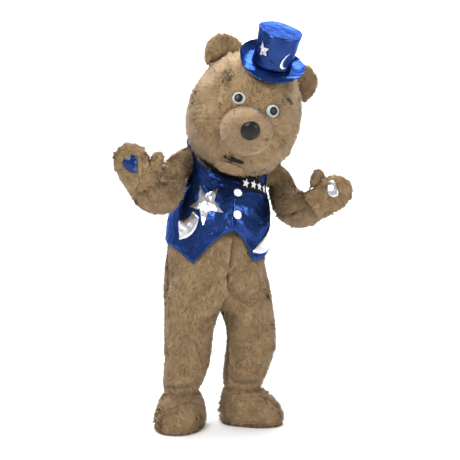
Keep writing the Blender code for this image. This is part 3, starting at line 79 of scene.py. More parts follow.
# Middle lines the fur grows away from
BODY_LINE = ((-0.008, 0.005, -0.42), (-0.002, 0.005, -0.34), (0.010, 0.013, -0.26),
             (0.032, 0.030, -0.18), (0.047, 0.048, -0.11), (0.056, 0.068, -0.05))
LEG_LEFT_LINE = ((-0.186, -0.040, -1.196), (-0.172, -0.036, -1.12), (-0.153, -0.035, -1.05),
                 (-0.153, -0.035, -0.96), (-0.147, -0.036, -0.87), (-0.132, -0.036, -0.79),
                 (-0.110, -0.029, -0.73), (-0.075, -0.020, -0.66), (-0.040, -0.010, -0.58),
                 (-0.020, 0.0, -0.50), (-0.008, 0.005, -0.42))
LEG_RIGHT_LINE = ((0.118, 0.050, -1.196), (0.131, 0.050, -1.12), (0.148, 0.050, -1.05),
                  (0.163, 0.050, -0.96), (0.157, 0.052, -0.87), (0.132, 0.055, -0.79),
                  (0.095, 0.046, -0.73), (0.050, 0.030, -0.66), (0.010, 0.012, -0.58),
                  (-0.005, 0.005, -0.50), (-0.008, 0.005, -0.42))
SLEEVE_LEFT_LINE = ((-0.150, 0.0, -0.06), (-0.190, -0.040, -0.08), (-0.212, -0.062, -0.10),
                    (-0.233, -0.120, -0.16), (-0.254, -0.186, -0.212), (-0.276, -0.240, -0.234),
                    (-0.310, -0.296, -0.222), (-0.336, -0.334, -0.188))
SLEEVE_RIGHT_LINE = ((0.235, 0.110, -0.09), (0.283, 0.126, -0.10), (0.311, 0.128, -0.145),
                     (0.322, 0.112, -0.212), (0.347, 0.074, -0.272), (0.388, 0.018, -0.298),
                     (0.430, -0.030, -0.294), (0.464, -0.064, -0.276))
MITT_LEFT_LINE = tuple((-0.336 - 0.45 * k, -0.334 - 0.20 * k, -0.188 + 0.87 * k)
                       for k in (0.0, 0.03, 0.06, 0.09, 0.12, 0.15))
MITT_RIGHT_LINE = tuple((0.464 + 0.80 * k, -0.064 - 0.30 * k, -0.276 + 0.52 * k)
                        for k in (0.0, 0.03, 0.06, 0.09, 0.12, 0.15))
FOOT_LEFT_LINE = tuple((-0.186 - 0.014 * k, -0.04 - 0.1 * k, -1.31) for k in (0.0, 0.5, 1.0))
FOOT_RIGHT_LINE = tuple((0.118 + 0.09 * k, 0.05 - 0.05 * k, -1.31) for k in (0.0, 0.5, 1.0))


def unit(rows):
    """Rows of vectors at length one."""
    rows = np.asarray(rows, dtype=float)
    return rows / np.maximum(np.linalg.norm(rows, axis=-1, keepdims=True), 1e-9)


def points_of(piece):
    """Vertex places and normals of a piece."""
    count = len(piece.data.vertices)
    places = np.empty(count * 3)
    normals = np.empty(count * 3)
    piece.data.vertices.foreach_get("co", places)
    piece.data.vertices.foreach_get("normal", normals)
    return places.reshape(-1, 3), normals.reshape(-1, 3)


def put_points(piece, places):
    """Vertex places back onto a piece."""
    piece.data.vertices.foreach_set("co", np.asarray(places, dtype=float).ravel())
    piece.data.update()


def smooth_copy(name, node, level=2, crease=ROUNDING_CREASE):
    """A rounded copy of a solid with its cut edges kept."""
    mesh = nodes[node].data.copy()
    mesh.name = name
    mesh.transform(nodes[node].matrix_world)
    mesh.materials.clear()
    piece = bpy.data.objects.new(name, mesh)
    scene.collection.objects.link(piece)
    work = bmesh.new()
    work.from_mesh(mesh)
    bmesh.ops.remove_doubles(work, verts=work.verts, dist=0.00002)
    bmesh.ops.join_triangles(work, faces=work.faces, angle_face_threshold=1.2,
                             angle_shape_threshold=1.2)
    layers = work.edges.layers.float
    sharp = layers.get("crease_edge") or layers.new("crease_edge")
    for edge in work.edges:
        if len(edge.link_faces) == 2 and edge.calc_face_angle() > math.radians(crease):
            edge[sharp] = 1.0
    work.to_mesh(mesh)
    work.free()
    bpy.context.view_layer.objects.active = piece
    if level:
        modifier = piece.modifiers.new("rounding", "SUBSURF")
        modifier.levels = level
        modifier.render_levels = level
        bpy.ops.object.modifier_apply(modifier="rounding")
    bpy.ops.object.select_all(action="DESELECT")
    piece.select_set(True)
    bpy.ops.object.shade_smooth_by_angle(angle=math.radians(ROUNDING_CREASE))
    piece.select_set(False)
    return piece


def away_from(places, line):
    """Directions from the nearest place on a middle line."""
    line = np.asarray(line, dtype=float)
    nearest = np.full(len(places), 1e9)
    spots = np.zeros_like(places)
    for k in range(max(len(line) - 1, 1)):
        start = line[k]
        end = line[min(k + 1, len(line) - 1)]
        span = end - start
        size = max(float(span @ span), 1e-12)
        part = np.clip(((places - start) @ span) / size, 0.0, 1.0)
        spot = start + part[:, None] * span
        gap = np.linalg.norm(places - spot, axis=1)
        closer = gap < nearest
        nearest[closer] = gap[closer]
        spots[closer] = spot[closer]
    return unit(places - spots)


def turn_about(places, line):
    """Angle round a nearly upright middle line: 0 to +X, 90 to the front."""
    rows = np.array(sorted(line, key=lambda row: row[2]))
    middle_x = np.interp(places[:, 2], rows[:, 2], rows[:, 0])
    middle_y = np.interp(places[:, 2], rows[:, 2], rows[:, 1])
    return np.degrees(np.arctan2(middle_y - places[:, 1], places[:, 0] - middle_x)) % 360.0


def sunk(piece, line, depth):
    """Outer side of a plush wall drawn in to make room for its pile."""
    places, normals = points_of(piece)
    away = away_from(places, line)
    share = np.clip((np.sum(normals * away, axis=1) - 0.05) / 0.4, 0.0, 1.0)
    put_points(piece, places - away * (depth * share)[:, None])


def wander(places, scale, seed):
    """Smooth wandering values from -1 to 1 over space."""
    rng = np.random.default_rng(seed)
    total = np.zeros(len(places))
    for octave in range(3):
        for _ in range(3):
            way = rng.normal(size=3)
            way /= np.linalg.norm(way)
            phase = rng.uniform(0, 2 * math.pi)
            turns = (places @ way) * (2 ** octave) * 2 * math.pi / scale
            total += np.sin(turns + phase) / 1.7 ** octave
    return np.clip(total / 3.4, -1.0, 1.0)


# Fur: flat tapering strands in locks, grown on the outer side of a plush piece
def grow_fur(name, base, line, length, seed, down=0.75, density=STRANDS_PER_CM2, cover=None,
             keep=None, part_from=None, width=STRAND_WIDTH, wild=1.0,
             gather=(0.25, 0.6), lift=1.0):
    """One mesh of strands that stand on a plush piece and lean over it."""
    rng = np.random.default_rng(seed)
    mesh = base.data
    mesh.calc_loop_triangles()
    corners = np.empty(len(mesh.loop_triangles) * 3, dtype=np.int64)
    mesh.loop_triangles.foreach_get("vertices", corners)
    corners = corners.reshape(-1, 3)
    places, normals = points_of(base)
    a, b, c = (places[corners[:, k]] for k in range(3))
    cross = np.cross(b - a, c - a)
    area = 0.5 * np.linalg.norm(cross, axis=1)
    away = away_from((a + b + c) / 3.0, line)
    area = np.where(np.sum(unit(cross) * away, axis=1) > 0.15, area, 0.0)
    count = int(area.sum() * 1e4 * density)
    pick = rng.choice(len(area), size=count, p=area / area.sum())
    s, t = rng.random((2, count))
    over = s + t > 1
    s[over], t[over] = 1 - s[over], 1 - t[over]
    spots = a[pick] + (b - a)[pick] * s[:, None] + (c - a)[pick] * t[:, None]
    out = unit(normals[corners[pick, 0]] * (1 - s - t)[:, None]
               + normals[corners[pick, 1]] * s[:, None] + normals[corners[pick, 2]] * t[:, None])
    if keep is not None:
        kept = keep(spots)
        spots, out = spots[kept], out[kept]
    if cover is not None:
        free = np.array([cover.ray_cast(Vector(p), Vector(n), 0.05)[0] is None
                         for p, n in zip(spots, out)])
        spots, out = spots[free], out[free]
    count = len(spots)
    flow = np.zeros((count, 3))
    flow[:, 2] = -down
    if part_from is not None:
        flow += unit(spots - np.array(part_from)) * 0.8
    for axis in range(3):
        flow[:, axis] += 0.75 * wild * wander(spots, WIDE_SWIRL, seed + 11 + axis)
        flow[:, axis] += 0.40 * wild * wander(spots, FINE_SWIRL, seed + 21 + axis)
    flow -= out * np.sum(flow * out, axis=1)[:, None]
    flow = unit(flow + rng.normal(0, 0.27, (count, 3)))
    long = length * rng.uniform(0.72, 1.12, count)[:, None]
    rise = lift * FUR_SINK * 1.05 * rng.uniform(0.75, 1.25, count)[:, None]
    middle = spots + out * rise * 0.75 + flow * long * 0.38
    tip = spots + out * rise * 0.80 + flow * long * 0.92
    lead_count = max(count // STRANDS_PER_LOCK, 1)
    leads = rng.choice(count, size=lead_count, replace=False)
    tree = KDTree(lead_count)
    for k, lead in enumerate(leads):
        tree.insert(Vector(tip[lead]), k)
    tree.balance()
    own = np.array([tree.find(Vector(p))[1] for p in tip])
    pull = rng.uniform(*gather, count)[:, None]
    tip = tip + (tip[leads[own]] - tip) * pull
    middle = middle + (middle[leads[own]] - middle) * pull * 0.35
    side = unit(np.cross(tip - spots, out) + rng.normal(0, 0.004, (count, 3)))
    half = (0.5 * width * rng.uniform(0.7, 1.3, count))[:, None]
    verts = np.stack((spots - side * half, spots + side * half, middle - side * half * 0.8,
                      middle + side * half * 0.8, tip), axis=1).reshape(-1, 3)
    first = (np.arange(count) * 5)[:, None]
    verts[:, 2] = np.maximum(verts[:, 2], FLOOR_HEIGHT + 0.001)
    faces = np.concatenate((first + [[0, 1, 3]], first + [[0, 3, 2]], first + [[2, 3, 4]]), axis=1)
    faces = faces.reshape(-1, 3)
    made = bpy.data.meshes.new(name)
    made.vertices.add(len(verts))
    made.vertices.foreach_set("co", verts.ravel())
    made.loops.add(faces.size)
    made.loops.foreach_set("vertex_index", faces.ravel().astype(np.int32))
    made.polygons.add(len(faces))
    made.polygons.foreach_set("loop_start", np.arange(0, faces.size, 3, dtype=np.int32))
    made.update(calc_edges=True)
    lock_tone = rng.random(lead_count)[own]
    tone = np.clip(0.55 * lock_tone + 0.45 * rng.random(count), 0.0, 1.0)
    tone = np.clip(tone + 0.22 * wander(spots, 0.12, seed + 5), 0.0, 1.0)
    along = np.array((0.0, 0.0, 0.5, 0.5, 1.0))
    uv = np.stack((np.repeat(tone, 5), np.tile(along, count)), axis=1)[faces.ravel()]
    layer = made.uv_layers.new(name="pile")
    layer.uv.foreach_set("vector", uv.ravel())
    made.polygons.foreach_set("use_smooth", np.ones(len(faces), dtype=bool))
    made.normals_split_custom_set_from_vertices(np.repeat(unit(out + 0.35 * flow), 5, axis=0))
    piece = bpy.data.objects.new(name, made)
    scene.collection.objects.link(piece)
    return piece


# Shared colour and texture groups
def new_group(name, inputs, outputs):
    """An empty shader node group with its named sockets."""
    group = bpy.data.node_groups.new(name, "ShaderNodeTree")
    for label, kind, value in inputs:
        socket = group.interface.new_socket(label, in_out="INPUT", socket_type=kind)
        if value is not None:
            socket.default_value = value
    for label, kind in outputs:
        group.interface.new_socket(label, in_out="OUTPUT", socket_type=kind)
    return group, group.nodes.new("NodeGroupInput"), group.nodes.new("NodeGroupOutput")


def pile_group():
    """Colour of a strand from its tone and its place between root and tip."""
    group, source, target = new_group(
        "pile_colour", (("Root", "NodeSocketColor", None), ("Dark", "NodeSocketColor", None),
                        ("Light", "NodeSocketColor", None)),
        (("Color", "NodeSocketColor"),))
    links = group.links
    uv = group.nodes.new("ShaderNodeUVMap")
    uv.uv_map = "pile"
    split = group.nodes.new("ShaderNodeSeparateXYZ")
    tone = group.nodes.new("ShaderNodeMix")
    tone.data_type = "RGBA"
    full = group.nodes.new("ShaderNodeMix")
    full.data_type = "RGBA"
    rise = group.nodes.new("ShaderNodeMath")
    rise.operation = "POWER"
    rise.inputs[1].default_value = 0.6
    links.new(uv.outputs["UV"], split.inputs["Vector"])
    links.new(split.outputs["X"], tone.inputs["Factor"])
    links.new(source.outputs["Dark"], tone.inputs["A"])
    links.new(source.outputs["Light"], tone.inputs["B"])
    links.new(split.outputs["Y"], rise.inputs[0])
    links.new(rise.outputs["Value"], full.inputs["Factor"])
    links.new(source.outputs["Root"], full.inputs["A"])
    links.new(tone.outputs["Result"], full.inputs["B"])
    links.new(full.outputs["Result"], target.inputs["Color"])
    return group


def mottle_and_sheen_group():
    """Two colours mixed by soft clouds, with a fine height: a real mottle on most cloths, painted
    highlight and painted shade on the satin.
    """
    group, source, target = new_group(
        "cloth_mottle_and_painted_sheen", (("First", "NodeSocketColor", None), ("Second", "NodeSocketColor", None),
                         ("Cloud Scale", "NodeSocketFloat", 20.0),
                         ("Grain Scale", "NodeSocketFloat", 300.0)),
        (("Color", "NodeSocketColor"), ("Height", "NodeSocketFloat")))
    links = group.links
    place = group.nodes.new("ShaderNodeTexCoord")
    cloud = group.nodes.new("ShaderNodeTexNoise")
    grain = group.nodes.new("ShaderNodeTexNoise")
    mix = group.nodes.new("ShaderNodeMix")
    mix.data_type = "RGBA"
    links.new(place.outputs["Object"], cloud.inputs["Vector"])
    links.new(place.outputs["Object"], grain.inputs["Vector"])
    links.new(source.outputs["Cloud Scale"], cloud.inputs["Scale"])
    links.new(source.outputs["Grain Scale"], grain.inputs["Scale"])
    links.new(cloud.outputs["Fac"], mix.inputs["Factor"])
    links.new(source.outputs["First"], mix.inputs["A"])
    links.new(source.outputs["Second"], mix.inputs["B"])
    links.new(mix.outputs["Result"], target.inputs["Color"])
    links.new(grain.outputs["Fac"], target.inputs["Height"])
    return group


PILE = pile_group()
MOTTLE_AND_PAINTED_SHEEN = mottle_and_sheen_group()


def shaded(name, roughness, metallic=0.0, coat=0.0, sheen=0.0):
    """A material with its main shader's constants set on the shader."""
    made = bpy.data.materials.new(name)
    made.use_nodes = True
    shader = made.node_tree.nodes["Principled BSDF"]
    shader.inputs["Roughness"].default_value = roughness
    shader.inputs["Metallic"].default_value = metallic
    shader.inputs["Coat Weight"].default_value = coat
    shader.inputs["Coat Roughness"].default_value = 0.15
    shader.inputs["Sheen Weight"].default_value = sheen
    shader.inputs["Sheen Roughness"].default_value = 0.5
    return made, shader


def fur_look(name, root, dark, light):
    """Pile strands."""
    made, shader = shaded(name, 0.78, sheen=0.15)
    shader.inputs["Specular IOR Level"].default_value = 0.25
    group = made.node_tree.nodes.new("ShaderNodeGroup")
    group.node_tree = PILE
    group.inputs["Root"].default_value = (*root, 1.0)
    group.inputs["Dark"].default_value = (*dark, 1.0)
    group.inputs["Light"].default_value = (*light, 1.0)
    made.node_tree.links.new(group.outputs["Color"], shader.inputs["Base Color"])
    return made


def cloth_look(name, first, second, roughness, metallic=0.0, cloud=20.0, grain=300.0, rise=0.0006,
               coat=0.0, sheen=0.0):
    """Cloth, foam, plastic: soft clouds of two colours and a fine surface; on the satin the clouds
    are painted highlight and painted shade.
    """
    made, shader = shaded(name, roughness, metallic, coat, sheen)
    shader.inputs["Specular IOR Level"].default_value = 0.25
    links = made.node_tree.links
    group = made.node_tree.nodes.new("ShaderNodeGroup")
    group.node_tree = MOTTLE_AND_PAINTED_SHEEN
    group.inputs["First"].default_value = (*first, 1.0)
    group.inputs["Second"].default_value = (*second, 1.0)
    group.inputs["Cloud Scale"].default_value = cloud
    group.inputs["Grain Scale"].default_value = grain
    bump = made.node_tree.nodes.new("ShaderNodeBump")
    bump.inputs["Distance"].default_value = rise
    bump.inputs["Strength"].default_value = 0.6
    links.new(group.outputs["Color"], shader.inputs["Base Color"])
    links.new(group.outputs["Height"], bump.inputs["Height"])
    links.new(bump.outputs["Normal"], shader.inputs["Normal"])
    return made


BACKING = cloth_look("plush_backing", (0.19, 0.12, 0.06), (0.15, 0.095, 0.048), 0.95)
FUR = fur_look("plush_pile", (0.18, 0.113, 0.056), (0.265, 0.168, 0.083), (0.52, 0.36, 0.19))
MUZZLE_FUR = fur_look("muzzle_pile", (0.30, 0.19, 0.10), (0.42, 0.275, 0.15), (0.66, 0.46, 0.27))
BROW_FUR = fur_look("brow_pile", (0.03, 0.02, 0.014), (0.04, 0.028, 0.02), (0.09, 0.062, 0.04))
MUZZLE_BACKING = cloth_look("muzzle_backing", (0.36, 0.235, 0.125), (0.30, 0.195, 0.105), 0.95)
# Satin: the near-black navy and bright blue clouds are painted shade and painted highlight,
# standing in for the sheen of crumpled satin.
SATIN = cloth_look("satin_blue", (0.008, 0.016, 0.075), (0.026, 0.070, 0.26), 0.25, 0.88,
                   14.0, 34.0, 0.0090, coat=0.05)
SATIN_SHADER = SATIN.node_tree.nodes["Principled BSDF"]
SATIN_SHADER.inputs["Specular Tint"].default_value = (0.30, 0.40, 0.62, 1.0)
SILVER = cloth_look("lame_silver", (0.58, 0.59, 0.62), (0.82, 0.83, 0.86), 0.22, 1.0, 30.0, 60.0,
                    0.0030)
BLACK = cloth_look("cloth_black", (0.004, 0.004, 0.005), (0.008, 0.008, 0.009), 0.95)
GLOSS = cloth_look("nose_black", (0.003, 0.003, 0.003), (0.005, 0.005, 0.005), 0.38, rise=0.0001,
                   coat=0.08)
WHITE_EYE = cloth_look("eye_white", (0.42, 0.47, 0.44), (0.50, 0.54, 0.50), 0.45, rise=0.0001)
WHITE = cloth_look("button_white", (0.82, 0.83, 0.85), (0.88, 0.88, 0.89), 0.3, rise=0.0001,
                   coat=0.3)
SOLE_LOOK = cloth_look("sole_brown", (0.12, 0.075, 0.045), (0.09, 0.055, 0.035), 0.9)


def settle_piece(piece, look, stands_for=()):
    """Material, slot, place on the body and the solids it stands for."""
    if look is not None:
        piece.data.materials.clear()
        piece.data.materials.append(look)
    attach(piece, "root")
    if stands_for:
        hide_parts(*stands_for)
    return piece


# Waistcoat and hat cloth: main creases listed, then soft crumple
VEST_CREASES = (
    (150.0, -0.12, 172.0, -0.20, 0.0050, 0.012), (140.0, -0.15, 165.0, -0.28, -0.0045, 0.014),
    (120.0, -0.17, 100.0, -0.24, 0.0035, 0.010), (165.0, -0.33, 120.0, -0.38, 0.0050, 0.014),
    (172.0, -0.40, 128.0, -0.43, -0.0050, 0.014), (160.0, -0.45, 118.0, -0.47, 0.0042, 0.012),
    (84.0, -0.28, 40.0, -0.37, -0.0048, 0.014), (80.0, -0.34, 46.0, -0.43, 0.0048, 0.013),
    (88.0, -0.38, 60.0, -0.46, -0.0040, 0.012), (60.0, -0.20, 30.0, -0.27, 0.0045, 0.013),
    (78.0, -0.22, 44.0, -0.30, -0.0045, 0.012), (20.0, -0.22, 2.0, -0.34, 0.0040, 0.014),
    (102.0, -0.30, 96.0, -0.40, 0.0032, 0.010), (110.0, -0.43, 90.0, -0.40, 0.0030, 0.010),
    (200.0, -0.24, 250.0, -0.30, 0.0050, 0.016), (215.0, -0.33, 300.0, -0.36, -0.0050, 0.016),
    (230.0, -0.41, 310.0, -0.44, 0.0045, 0.015), (270.0, -0.20, 320.0, -0.27, -0.0042, 0.014),
    (240.0, -0.12, 300.0, -0.15, 0.0036, 0.014), (190.0, -0.38, 235.0, -0.45, -0.0040, 0.014))


def crease_field(angle, height, rows, scale):
    """Sum of soft ridges and troughs along lines in angle and height."""
    total = np.zeros(len(angle))
    for a0, z0, a1, z1, rise, half in rows:
        turn = (angle - a0 + 180.0) % 360.0 - 180.0 + a0
        x, z = np.radians(turn) * scale, height
        sx, sz = math.radians(a0) * scale, z0
        dx, dz = math.radians(a1) * scale - sx, z1 - z0
        along = ((x - sx) * dx + (z - sz) * dz) / (dx * dx + dz * dz)
        inside = np.clip(along, 0.0, 1.0)
        bend = 0.007 * np.sin(along * 5.0 + a0)
        gap = np.hypot(x - sx - dx * inside, z - sz - dz * inside + bend)
        fade = np.clip(1.1 - np.abs(2 * along - 1.0) ** 3, 0.0, 1.0)
        total += rise * np.exp(-(gap / half) ** 2) * fade
    return total


def crumpled(piece):
    """Waistcoat cloth moved by its creases, both faces together."""
    places, _ = points_of(piece)
    away = away_from(places, BODY_LINE)
    away[:, 2] = 0.0
    away = unit(away)
    across = places[:, 0] - VEST_MIDDLE[0]
    ahead = VEST_MIDDLE[1] - places[:, 1]
    angle = np.degrees(np.arctan2(ahead, across)) % 360.0
    move = 1.35 * crease_field(angle, places[:, 2], VEST_CREASES, VEST_RADIUS)
    fade = np.clip((-0.02 - places[:, 2]) / 0.08, 0.0, 1.0)
    move = (move + CRUMPLE_RISE * wander(places, 0.055, 3)) * fade
    put_points(piece, places + away * np.maximum(move, -0.0035)[:, None])


def cover_of(*names):
    """A search tree over several solids."""
    places, faces = [], []
    for name in names:
        first = len(places)
        places += [nodes[name].matrix_world @ v.co for v in nodes[name].data.vertices]
        faces += [[first + k for k in p.vertices] for p in nodes[name].data.polygons]
    return BVHTree.FromPolygons(places, faces)


SIDES = ("left", "right")
VEST_NODES = tuple(f"vest_{part}_{side}" for part in ("front", "back") for side in SIDES)
VEST_COVER = cover_of(*VEST_NODES)
FACE_COVER = cover_of("hat_brim", "hat_crown", "eye_white_left", "eye_white_right", "muzzle",
                      "lower_jaw", "nose", "mouth_lining")
HEAD_COVER = cover_of("head_side_left", "head_side_right")


def seen_on_head(px, py):
    """The place on the head behind a point of the picture."""
    start = Vector(CAMERA_PLACE)
    right = (px - PICTURE_PIXELS / 2) / PIXELS_PER_METRE
    up = (PICTURE_PIXELS / 2 - PICTURE_DROP - py) / PIXELS_PER_METRE
    way = Vector((right, -CAMERA_PLACE[1], up)).normalized()
    return np.array(HEAD_COVER.ray_cast(start, way)[0])


def ear_line(side, face):
    """One-point middle for an ear's front or back."""
    front = np.mean(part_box(f"ear_front_{side}"), axis=0)
    back = np.mean(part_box(f"ear_back_{side}"), axis=0)
    ahead = unit([front - back])[0]
    if face == "back":
        return (tuple(back + ahead * 0.01),)
    return (tuple(front - ahead * 0.15),)


def drawn_to(node, goal, share=0.4):
    """One-point middle between a solid's centre and another place."""
    centre = np.mean(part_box(node), axis=0)
    return (tuple(centre + (np.array(goal) - centre) * share),)


# Plush pieces: node, middle line, flat width, flat length, flat area, how it is held
FLAT_PLUSH = (
    ("suit_front_left", BODY_LINE, 0.588, 0.399, 0.130, "hung"),
    ("suit_front_right", BODY_LINE, 0.577, 0.381, 0.112, "hung"),
    ("suit_back_left", BODY_LINE, 0.53, 0.344, 0.160, "hung"),
    ("suit_back_right", BODY_LINE, 0.512, 0.356, 0.146, "hung"),
    ("leg_front_left", LEG_LEFT_LINE, 0.86, 0.43, 0.310, "gathered"),
    ("leg_front_right", LEG_RIGHT_LINE, 0.86, 0.43, 0.316, "gathered"),
    ("leg_back_left", LEG_LEFT_LINE, 0.86, 0.43, 0.310, "gathered"),
    ("leg_back_right", LEG_RIGHT_LINE, 0.86, 0.43, 0.317, "gathered"),
    ("sleeve_front_left", SLEEVE_LEFT_LINE, 0.55, 0.27, 0.110, "gathered"),
    ("sleeve_front_right", SLEEVE_RIGHT_LINE, 0.42, 0.28, 0.088, "gathered"),
    ("sleeve_back_left", SLEEVE_LEFT_LINE, 0.60, 0.32, 0.141, "gathered"),
    ("sleeve_back_right", SLEEVE_RIGHT_LINE, 0.52, 0.34, 0.140, "gathered"),
    ("mitt_palm_left", MITT_LEFT_LINE, 0.27, 0.24, 0.051, "stretched"),
    ("mitt_palm_right", MITT_RIGHT_LINE, 0.27, 0.24, 0.049, "stretched"),
    ("mitt_back_left", MITT_LEFT_LINE, 0.27, 0.24, 0.051, "stretched"),
    ("mitt_back_right", MITT_RIGHT_LINE, 0.27, 0.24, 0.049, "stretched"),
    ("foot_upper_left", FOOT_LEFT_LINE, 0.60, 0.33, 0.147, "stretched"),
    ("foot_upper_right", FOOT_RIGHT_LINE, 0.62, 0.33, 0.152, "stretched"))

MITT_LEFT_MIDDLE = MITT_LEFT_LINE[2]
MITT_RIGHT_MIDDLE = MITT_RIGHT_LINE[2]
MUZZLE_PLACE = (0.133, -0.40, 0.07)
PAD_COVER = cover_of("palm_pad_left", "palm_pad_right", "thumb_left", "thumb_right")


# Soft folds of the legs: angle, height, angle, height, rise, half width
LEG_FOLDS = (
    (60.0, -0.59, 112.0, -0.80, -0.012, 0.020), (36.0, -0.64, 84.0, -0.86, 0.009, 0.022),
    (118.0, -0.57, 146.0, -0.80, 0.009, 0.020), (148.0, -0.55, 166.0, -0.77, -0.011, 0.018),
    (30.0, -1.09, 150.0, -1.13, 0.008, 0.015), (44.0, -1.14, 164.0, -1.165, -0.010, 0.013),
    (60.0, -0.92, 140.0, -0.97, -0.007, 0.020), (96.0, -1.02, 178.0, -0.98, 0.006, 0.018),
    (30.0, -0.98, 76.0, -1.03, -0.006, 0.016), (200.0, -0.62, 262.0, -0.74, -0.010, 0.024),
    (214.0, -0.80, 300.0, -0.84, 0.008, 0.020), (226.0, -0.93, 318.0, -0.90, -0.009, 0.018),
    (204.0, -1.10, 320.0, -1.13, 0.008, 0.016), (216.0, -1.15, 330.0, -1.16, -0.009, 0.013),
    (282.0, -0.60, 320.0, -0.78, 0.008, 0.022), (190.0, -1.00, 250.0, -1.04, -0.006, 0.018))


def leg_folded(piece, line, mirror):
    """Leg cloth moved by its folds, both faces together."""
    places, normals = points_of(piece)
    away = away_from(places, line)
    away[:, 2] *= 0.2
    away = unit(away)
    angle = turn_about(places, line)
    if mirror:
        angle = (180.0 - angle) % 360.0
    move = 1.9 * crease_field(angle, places[:, 2], LEG_FOLDS, LEG_RADIUS)
    above_foot = np.clip((places[:, 2] + 1.19) / 0.04, 0.0, 1.0)
    below_vest = np.clip((-0.53 - places[:, 2]) / 0.05, 0.0, 1.0)
    fade = above_foot * below_vest
    put_points(piece, places + away * (np.clip(move, -0.022, 0.014) * fade)[:, None])


def plush_piece(node, line, length, seed, look=FUR, backing=BACKING, sink=FUR_SINK, level=1,
                **extra):
    """A plush wall drawn in under its pile, and the pile on it."""
    base = smooth_copy(node + "_cloth", node, level)
    if node.startswith("leg"):
        leg_folded(base, line, node.endswith("right"))
    sunk(base, line, sink)
    settle_piece(base, backing, (node,))
    pile = grow_fur(node + "_pile", base, line, length, seed, **extra)
    settle_piece(pile, look)
    return base, pile


for number, (node, line, width, long, area, held) in enumerate(FLAT_PLUSH):
    extra = {}
    length = 0.024
    if node.startswith(("suit", "leg", "sleeve")):
        extra["cover"] = VEST_COVER
        extra["wild"] = 0.6
        extra["gather"] = (0.1, 0.4)
    if node.startswith("leg"):
        extra["level"] = 2
    if node.startswith("mitt"):
        extra["cover"] = PAD_COVER
        length = 0.026
        extra["down"] = 0.35
    if node.startswith("foot"):
        length = 0.030
        extra["down"] = 0.5
    base, pile = plush_piece(node, line, length, 100 + number, **extra)

for number, side in enumerate(SIDES):
    base, pile = plush_piece("head_side_" + side, (HEAD_CENTRE,), 0.034, 200 + number,
                             cover=FACE_COVER, part_from=MUZZLE_PLACE, down=0.45, width=0.003)
    for face in ("front", "back"):
        base, pile = plush_piece(f"ear_{face}_{side}", ear_line(side, face), 0.024, 210 + number,
                                 sink=0.004, density=12.0, down=-0.5, width=0.0026)
    thumb = "thumb_" + side
    middle = MITT_LEFT_MIDDLE if side == "left" else MITT_RIGHT_MIDDLE
    base, pile = plush_piece(thumb, drawn_to(thumb, middle), 0.020, 220 + number, sink=0.004,
                             down=0.3)

base, pile = plush_piece("muzzle", drawn_to("muzzle", HEAD_CENTRE), 0.010, 230, look=MUZZLE_FUR,
                         backing=MUZZLE_BACKING, sink=0.003, density=22.0, level=2, width=0.0014,
                         cover=cover_of("nose"), part_from=(0.146, -0.494, 0.064), down=0.3)
base, pile = plush_piece("lower_jaw", drawn_to("lower_jaw", HEAD_CENTRE), 0.009, 231,
                         look=MUZZLE_FUR, backing=MUZZLE_BACKING, sink=0.002, density=22.0,
                         level=2, width=0.0014)

# Brows of dark pile on the head
BROW_ENDS = (((223.0, 82.0), (236.0, 75.0)), ((284.0, 94.0), (293.0, 107.0)))
for side, (start, end) in zip(SIDES, BROW_ENDS):
    first, last = seen_on_head(*start), seen_on_head(*end)

    def near_brow(spots):
        """Which spots lie on the brow."""
        span = last - first
        share = np.clip((spots - first) @ span / (span @ span), 0.0, 1.0)
        gap = np.linalg.norm(spots - first - share[:, None] * span, axis=1)
        return gap < BROW_HALF_WIDTH

    def gap_to_brow(piece):
        """How near a piece comes to the brow's middle."""
        return np.min(np.linalg.norm(points_of(piece)[0] - (first + last) / 2, axis=1))

    best = min((bpy.data.objects[f"head_side_{s}_cloth"] for s in SIDES), key=gap_to_brow)
    brow = grow_fur("brow_" + side, best, (HEAD_CENTRE,), 0.018, 240, density=60.0, keep=near_brow,
                    part_from=MUZZLE_PLACE, down=-0.3, lift=1.7)
    settle_piece(brow, BROW_FUR)

# Satin waistcoat, its patches and buttons
for node in VEST_NODES:
    panel = smooth_copy(node + "_cloth", node, 2)
    crumpled(panel)
    settle_piece(panel, SATIN, (node,))

PATCH_FLATS = {"vest_star": (0.213, 0.162, 0.0132), "vest_comet_tail": (0.159, 0.098, 0.0104),
               "vest_crescent": (0.271, 0.116, 0.0191), "vest_badge": (0.201, 0.070, 0.0130)}
for number in range(4):
    star = smooth_copy(f"badge_star_{number + 1}_cloth", f"badge_star_{number + 1}", 0)
    crumpled(star)
    settle_piece(star, WHITE, (f"badge_star_{number + 1}",))
for node, (width, long, area) in PATCH_FLATS.items():
    level = 0 if node == "vest_star" else 1
    patch = smooth_copy(node + "_cloth", node, level, crease=20.0)
    crumpled(patch)
    if node == "vest_star":
        facets = patch.data.polygons
        facets.foreach_set("use_smooth", np.zeros(len(facets), dtype=bool))
    look, slot = (BLACK, "cloth_black") if node == "vest_badge" else (SILVER, "lame_silver")
    settle_piece(patch, look, (node,))
for which in ("upper", "lower"):
    button = smooth_copy(f"button_{which}_disc", f"button_{which}", 2)
    crumpled(button)
    settle_piece(button, WHITE, (f"button_{which}",))

# Satin hat
HAT_LINE = ((0.251, -0.278, 0.398), (0.270, -0.318, 0.464), (0.290, -0.359, 0.533))
HAT_FLATS = {"hat_crown": (0.63, 0.175, 0.103), "hat_tip": (0.21, 0.21, 0.0345),
             "hat_brim": (0.327, 0.319, 0.061)}


def hat_crumpled(piece):
    """Hat cloth moved by soft dents."""
    places, _ = points_of(piece)
    away = away_from(places, HAT_LINE)
    move = HAT_DENT * (wander(places, 0.12, 31) + 0.6 * wander(places, 0.05, 32))
    put_points(piece, places + away * move[:, None])


